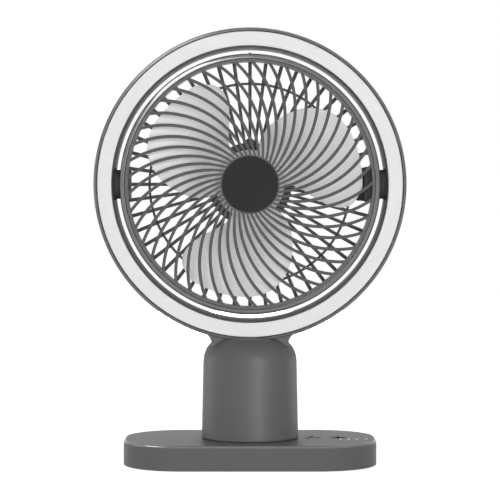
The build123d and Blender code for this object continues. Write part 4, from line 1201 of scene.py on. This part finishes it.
def disc(radius, count=28):
    """Points round a circle."""
    return [polar(radius, 360 * i / count)[:2] for i in range(count)]


petal = []
petal_steps = 32
petal_root, petal_length = 1.1, 4.9
petal_width, petal_lean = 2.5, 0.9
for step in range(petal_steps):
    way = math.tau * step / petal_steps
    along = 0.5 - 0.5 * math.cos(way)
    across = petal_width * along**0.5 * math.sin(way) + petal_lean * along
    petal.append((petal_root + petal_length * along, across))
for degrees in (90, 210, 330):
    add_print(petal, fan_x, degrees)
add_print(disc(0.8), fan_x)
add_print(disc(2.7), lamp_x)
ray_count = 8
ray = [(3.5, -0.75), (5.8, -0.6), (5.8, 0.6), (3.5, 0.75)]
for i in range(ray_count):
    add_print(ray, lamp_x, 360 / ray_count * i)
show("key_marks", mark_shape, [mark_ink], "base", "dark_trim")

# %% [markdown]
# The studio is white all round. The camera stands level with the fan's axis and looks a little down,
# so that the base comes into the picture too.

# %% Camera
photo_side = 500
camera_distance = 1.5
focal_pixels = 2216.0
sensor_width = 36.0
ring_row = 184.35
look_down = math.atan((photo_side / 2 - ring_row) / focal_pixels)
camera_data = bpy.data.cameras.new("photo_camera")
camera_data.sensor_width = sensor_width
camera_data.lens = focal_pixels / photo_side * sensor_width
camera = stand("photo_camera", camera_data)
camera.location = (0, -camera_distance, axis_height * mm)
camera.rotation_euler = (math.radians(90) - look_down, 0, 0)
scene.camera = camera
print(f"camera: {camera_data.lens:.1f} mm lens, {math.degrees(look_down):.2f} degrees down")

# %% [markdown]
# Three broad soft lights, in front, behind and above, show every colour about as it is written, and a
# small light on the left gives the round forms a bright side. The rest are only seen as reflections:
# two cards high on the left draw the bright lines on the polished edges of the head and the base, and
# three strips draw the soft lines down the middle and the sides of the column. A studio would keep
# the cards, the strips and the upper light off the other pieces with black flags.

# %% Lights
scene.view_settings.view_transform = "Standard"
fan_middle = Vector((0, 0, 0.15))


def add_light(name, place, size, watts, only=(), along=(0, 0, 1)):
    """Soft rectangle that faces the fan, its height along a direction; it may light some pieces only."""
    data = bpy.data.lights.new(name, "AREA")
    data.shape = "RECTANGLE"
    data.size, data.size_y = size
    data.energy = watts
    light = stand(name, data)
    light.location = place
    away = (Vector(place) - fan_middle).normalized()
    across = Vector(along).cross(away).normalized()
    light.rotation_euler = Matrix((across, away.cross(across), away)).transposed().to_euler()
    if only:
        group = bpy.data.collections.new(name)
        for piece in only:
            group.objects.link(piece)
        light.light_linking.receiver_collection = group
    return light


add_light("side_light", (-1.1, 0.1, 0.2), (0.45, 0.45), 1.5)
broad_lights = (
    ("front_light", (0.1, -1.75, 0.2), (1.0, 0.6), 27.5),
    ("back_light", (-0.2, 1.75, 0.35), (1.0, 0.8), 18.0),
    ("top_light", (0, 0.2, 1.8), (1.0, 1.0), 11.0, (ring_frame, head_rim, base_casing)),
)
reflections = (
    ("edge_card", (-0.66, -0.85, 1.2), (0.75, 2.2), 51.0, (head_rim, ring_frame), (-0.33, 0.8, 0.5)),
    ("base_card", (-1.1, -0.45, 0.95), (0.9, 0.4), 15.5, (base_casing,)),
    ("column_strip", (0.46, -1.25, 0.16), (0.3, 0.6), 16.5, (column_body,)),
    ("left_strip", (-1.25, 0.6, 0.06), (0.3, 0.12), 1.7, (column_body,)),
    ("right_strip", (1.15, 0.75, 0.06), (0.3, 0.12), 1.1, (column_body,)),
)
for row in broad_lights:
    add_light(*row).visible_glossy = False
for row in reflections:
    add_light(*row).visible_diffuse = False

# %% [markdown]
# The backdrop and the floor are plain white to the eye, and also in reflections, but they send less
# light than that onto the fan, and the ceiling least, so that its pale pieces and its dome keep their
# shading. The floor still takes a shadow.

# %% Backdrop
fill_strength = 0.32
ceiling_strength = 0.08
white = (1.0, 1.0, 1.0, 1.0)


def seen_or_lit(tree, lit, seen):
    """One shader for rays that light the fan, another for eye, mirror and clear plastic."""
    path = put(tree, "ShaderNodeLightPath").node.outputs
    mirror = maths(tree, "MAXIMUM", path["Is Camera Ray"], path["Is Glossy Ray"])
    eye = maths(tree, "MAXIMUM", mirror, path["Is Transmission Ray"])
    return put(tree, "ShaderNodeMixShader", {0: eye, 1: lit, 2: seen})


world = bpy.data.worlds.new("white_room")
scene.world = world
room = clear_tree(world)
ray_way = put(room, "ShaderNodeTexCoord", output="Generated")
way_up = put(room, "ShaderNodeSeparateXYZ", {0: ray_way}, "Z")
fill_fall = ramp(room, way_up, fill_strength, ceiling_strength)
fill = put(room, "ShaderNodeBackground", {"Color": white, "Strength": fill_fall})
shown = put(room, "ShaderNodeBackground", {"Color": white, "Strength": 1.0})
put(room, "ShaderNodeOutputWorld", {"Surface": seen_or_lit(room, fill, shown)})
print("backdrop:", world.name)

# %% [markdown]
# The floor is one large square. To the eye it glows nearly white by itself, and the light that falls
# on it adds the rest.

# %% Floor
floor_half = 15.0
floor_glow = 0.89
floor_mesh = bpy.data.meshes.new("floor")
corners = [(x * floor_half, y * floor_half, 0) for x, y in ((-1, -1), (1, -1), (1, 1), (-1, 1))]
floor_mesh.from_pydata(corners, [], [(0, 1, 2, 3)])
floor = stand("floor", floor_mesh)
floor_paint = bpy.data.materials.new("floor_paint")
ground = clear_tree(floor_paint)
plain = put(ground, "ShaderNodeBsdfDiffuse", {"Color": (0.8, 0.8, 0.8, 1.0)})
glow = put(ground, "ShaderNodeEmission", {"Color": white, "Strength": floor_glow})
pale = put(ground, "ShaderNodeAddShader", {0: glow, 1: plain})
put(ground, "ShaderNodeOutputMaterial", {"Surface": seen_or_lit(ground, plain, pale)})
floor_mesh.materials.append(floor_paint)
print("floor:", 2 * floor_half, "m wide")
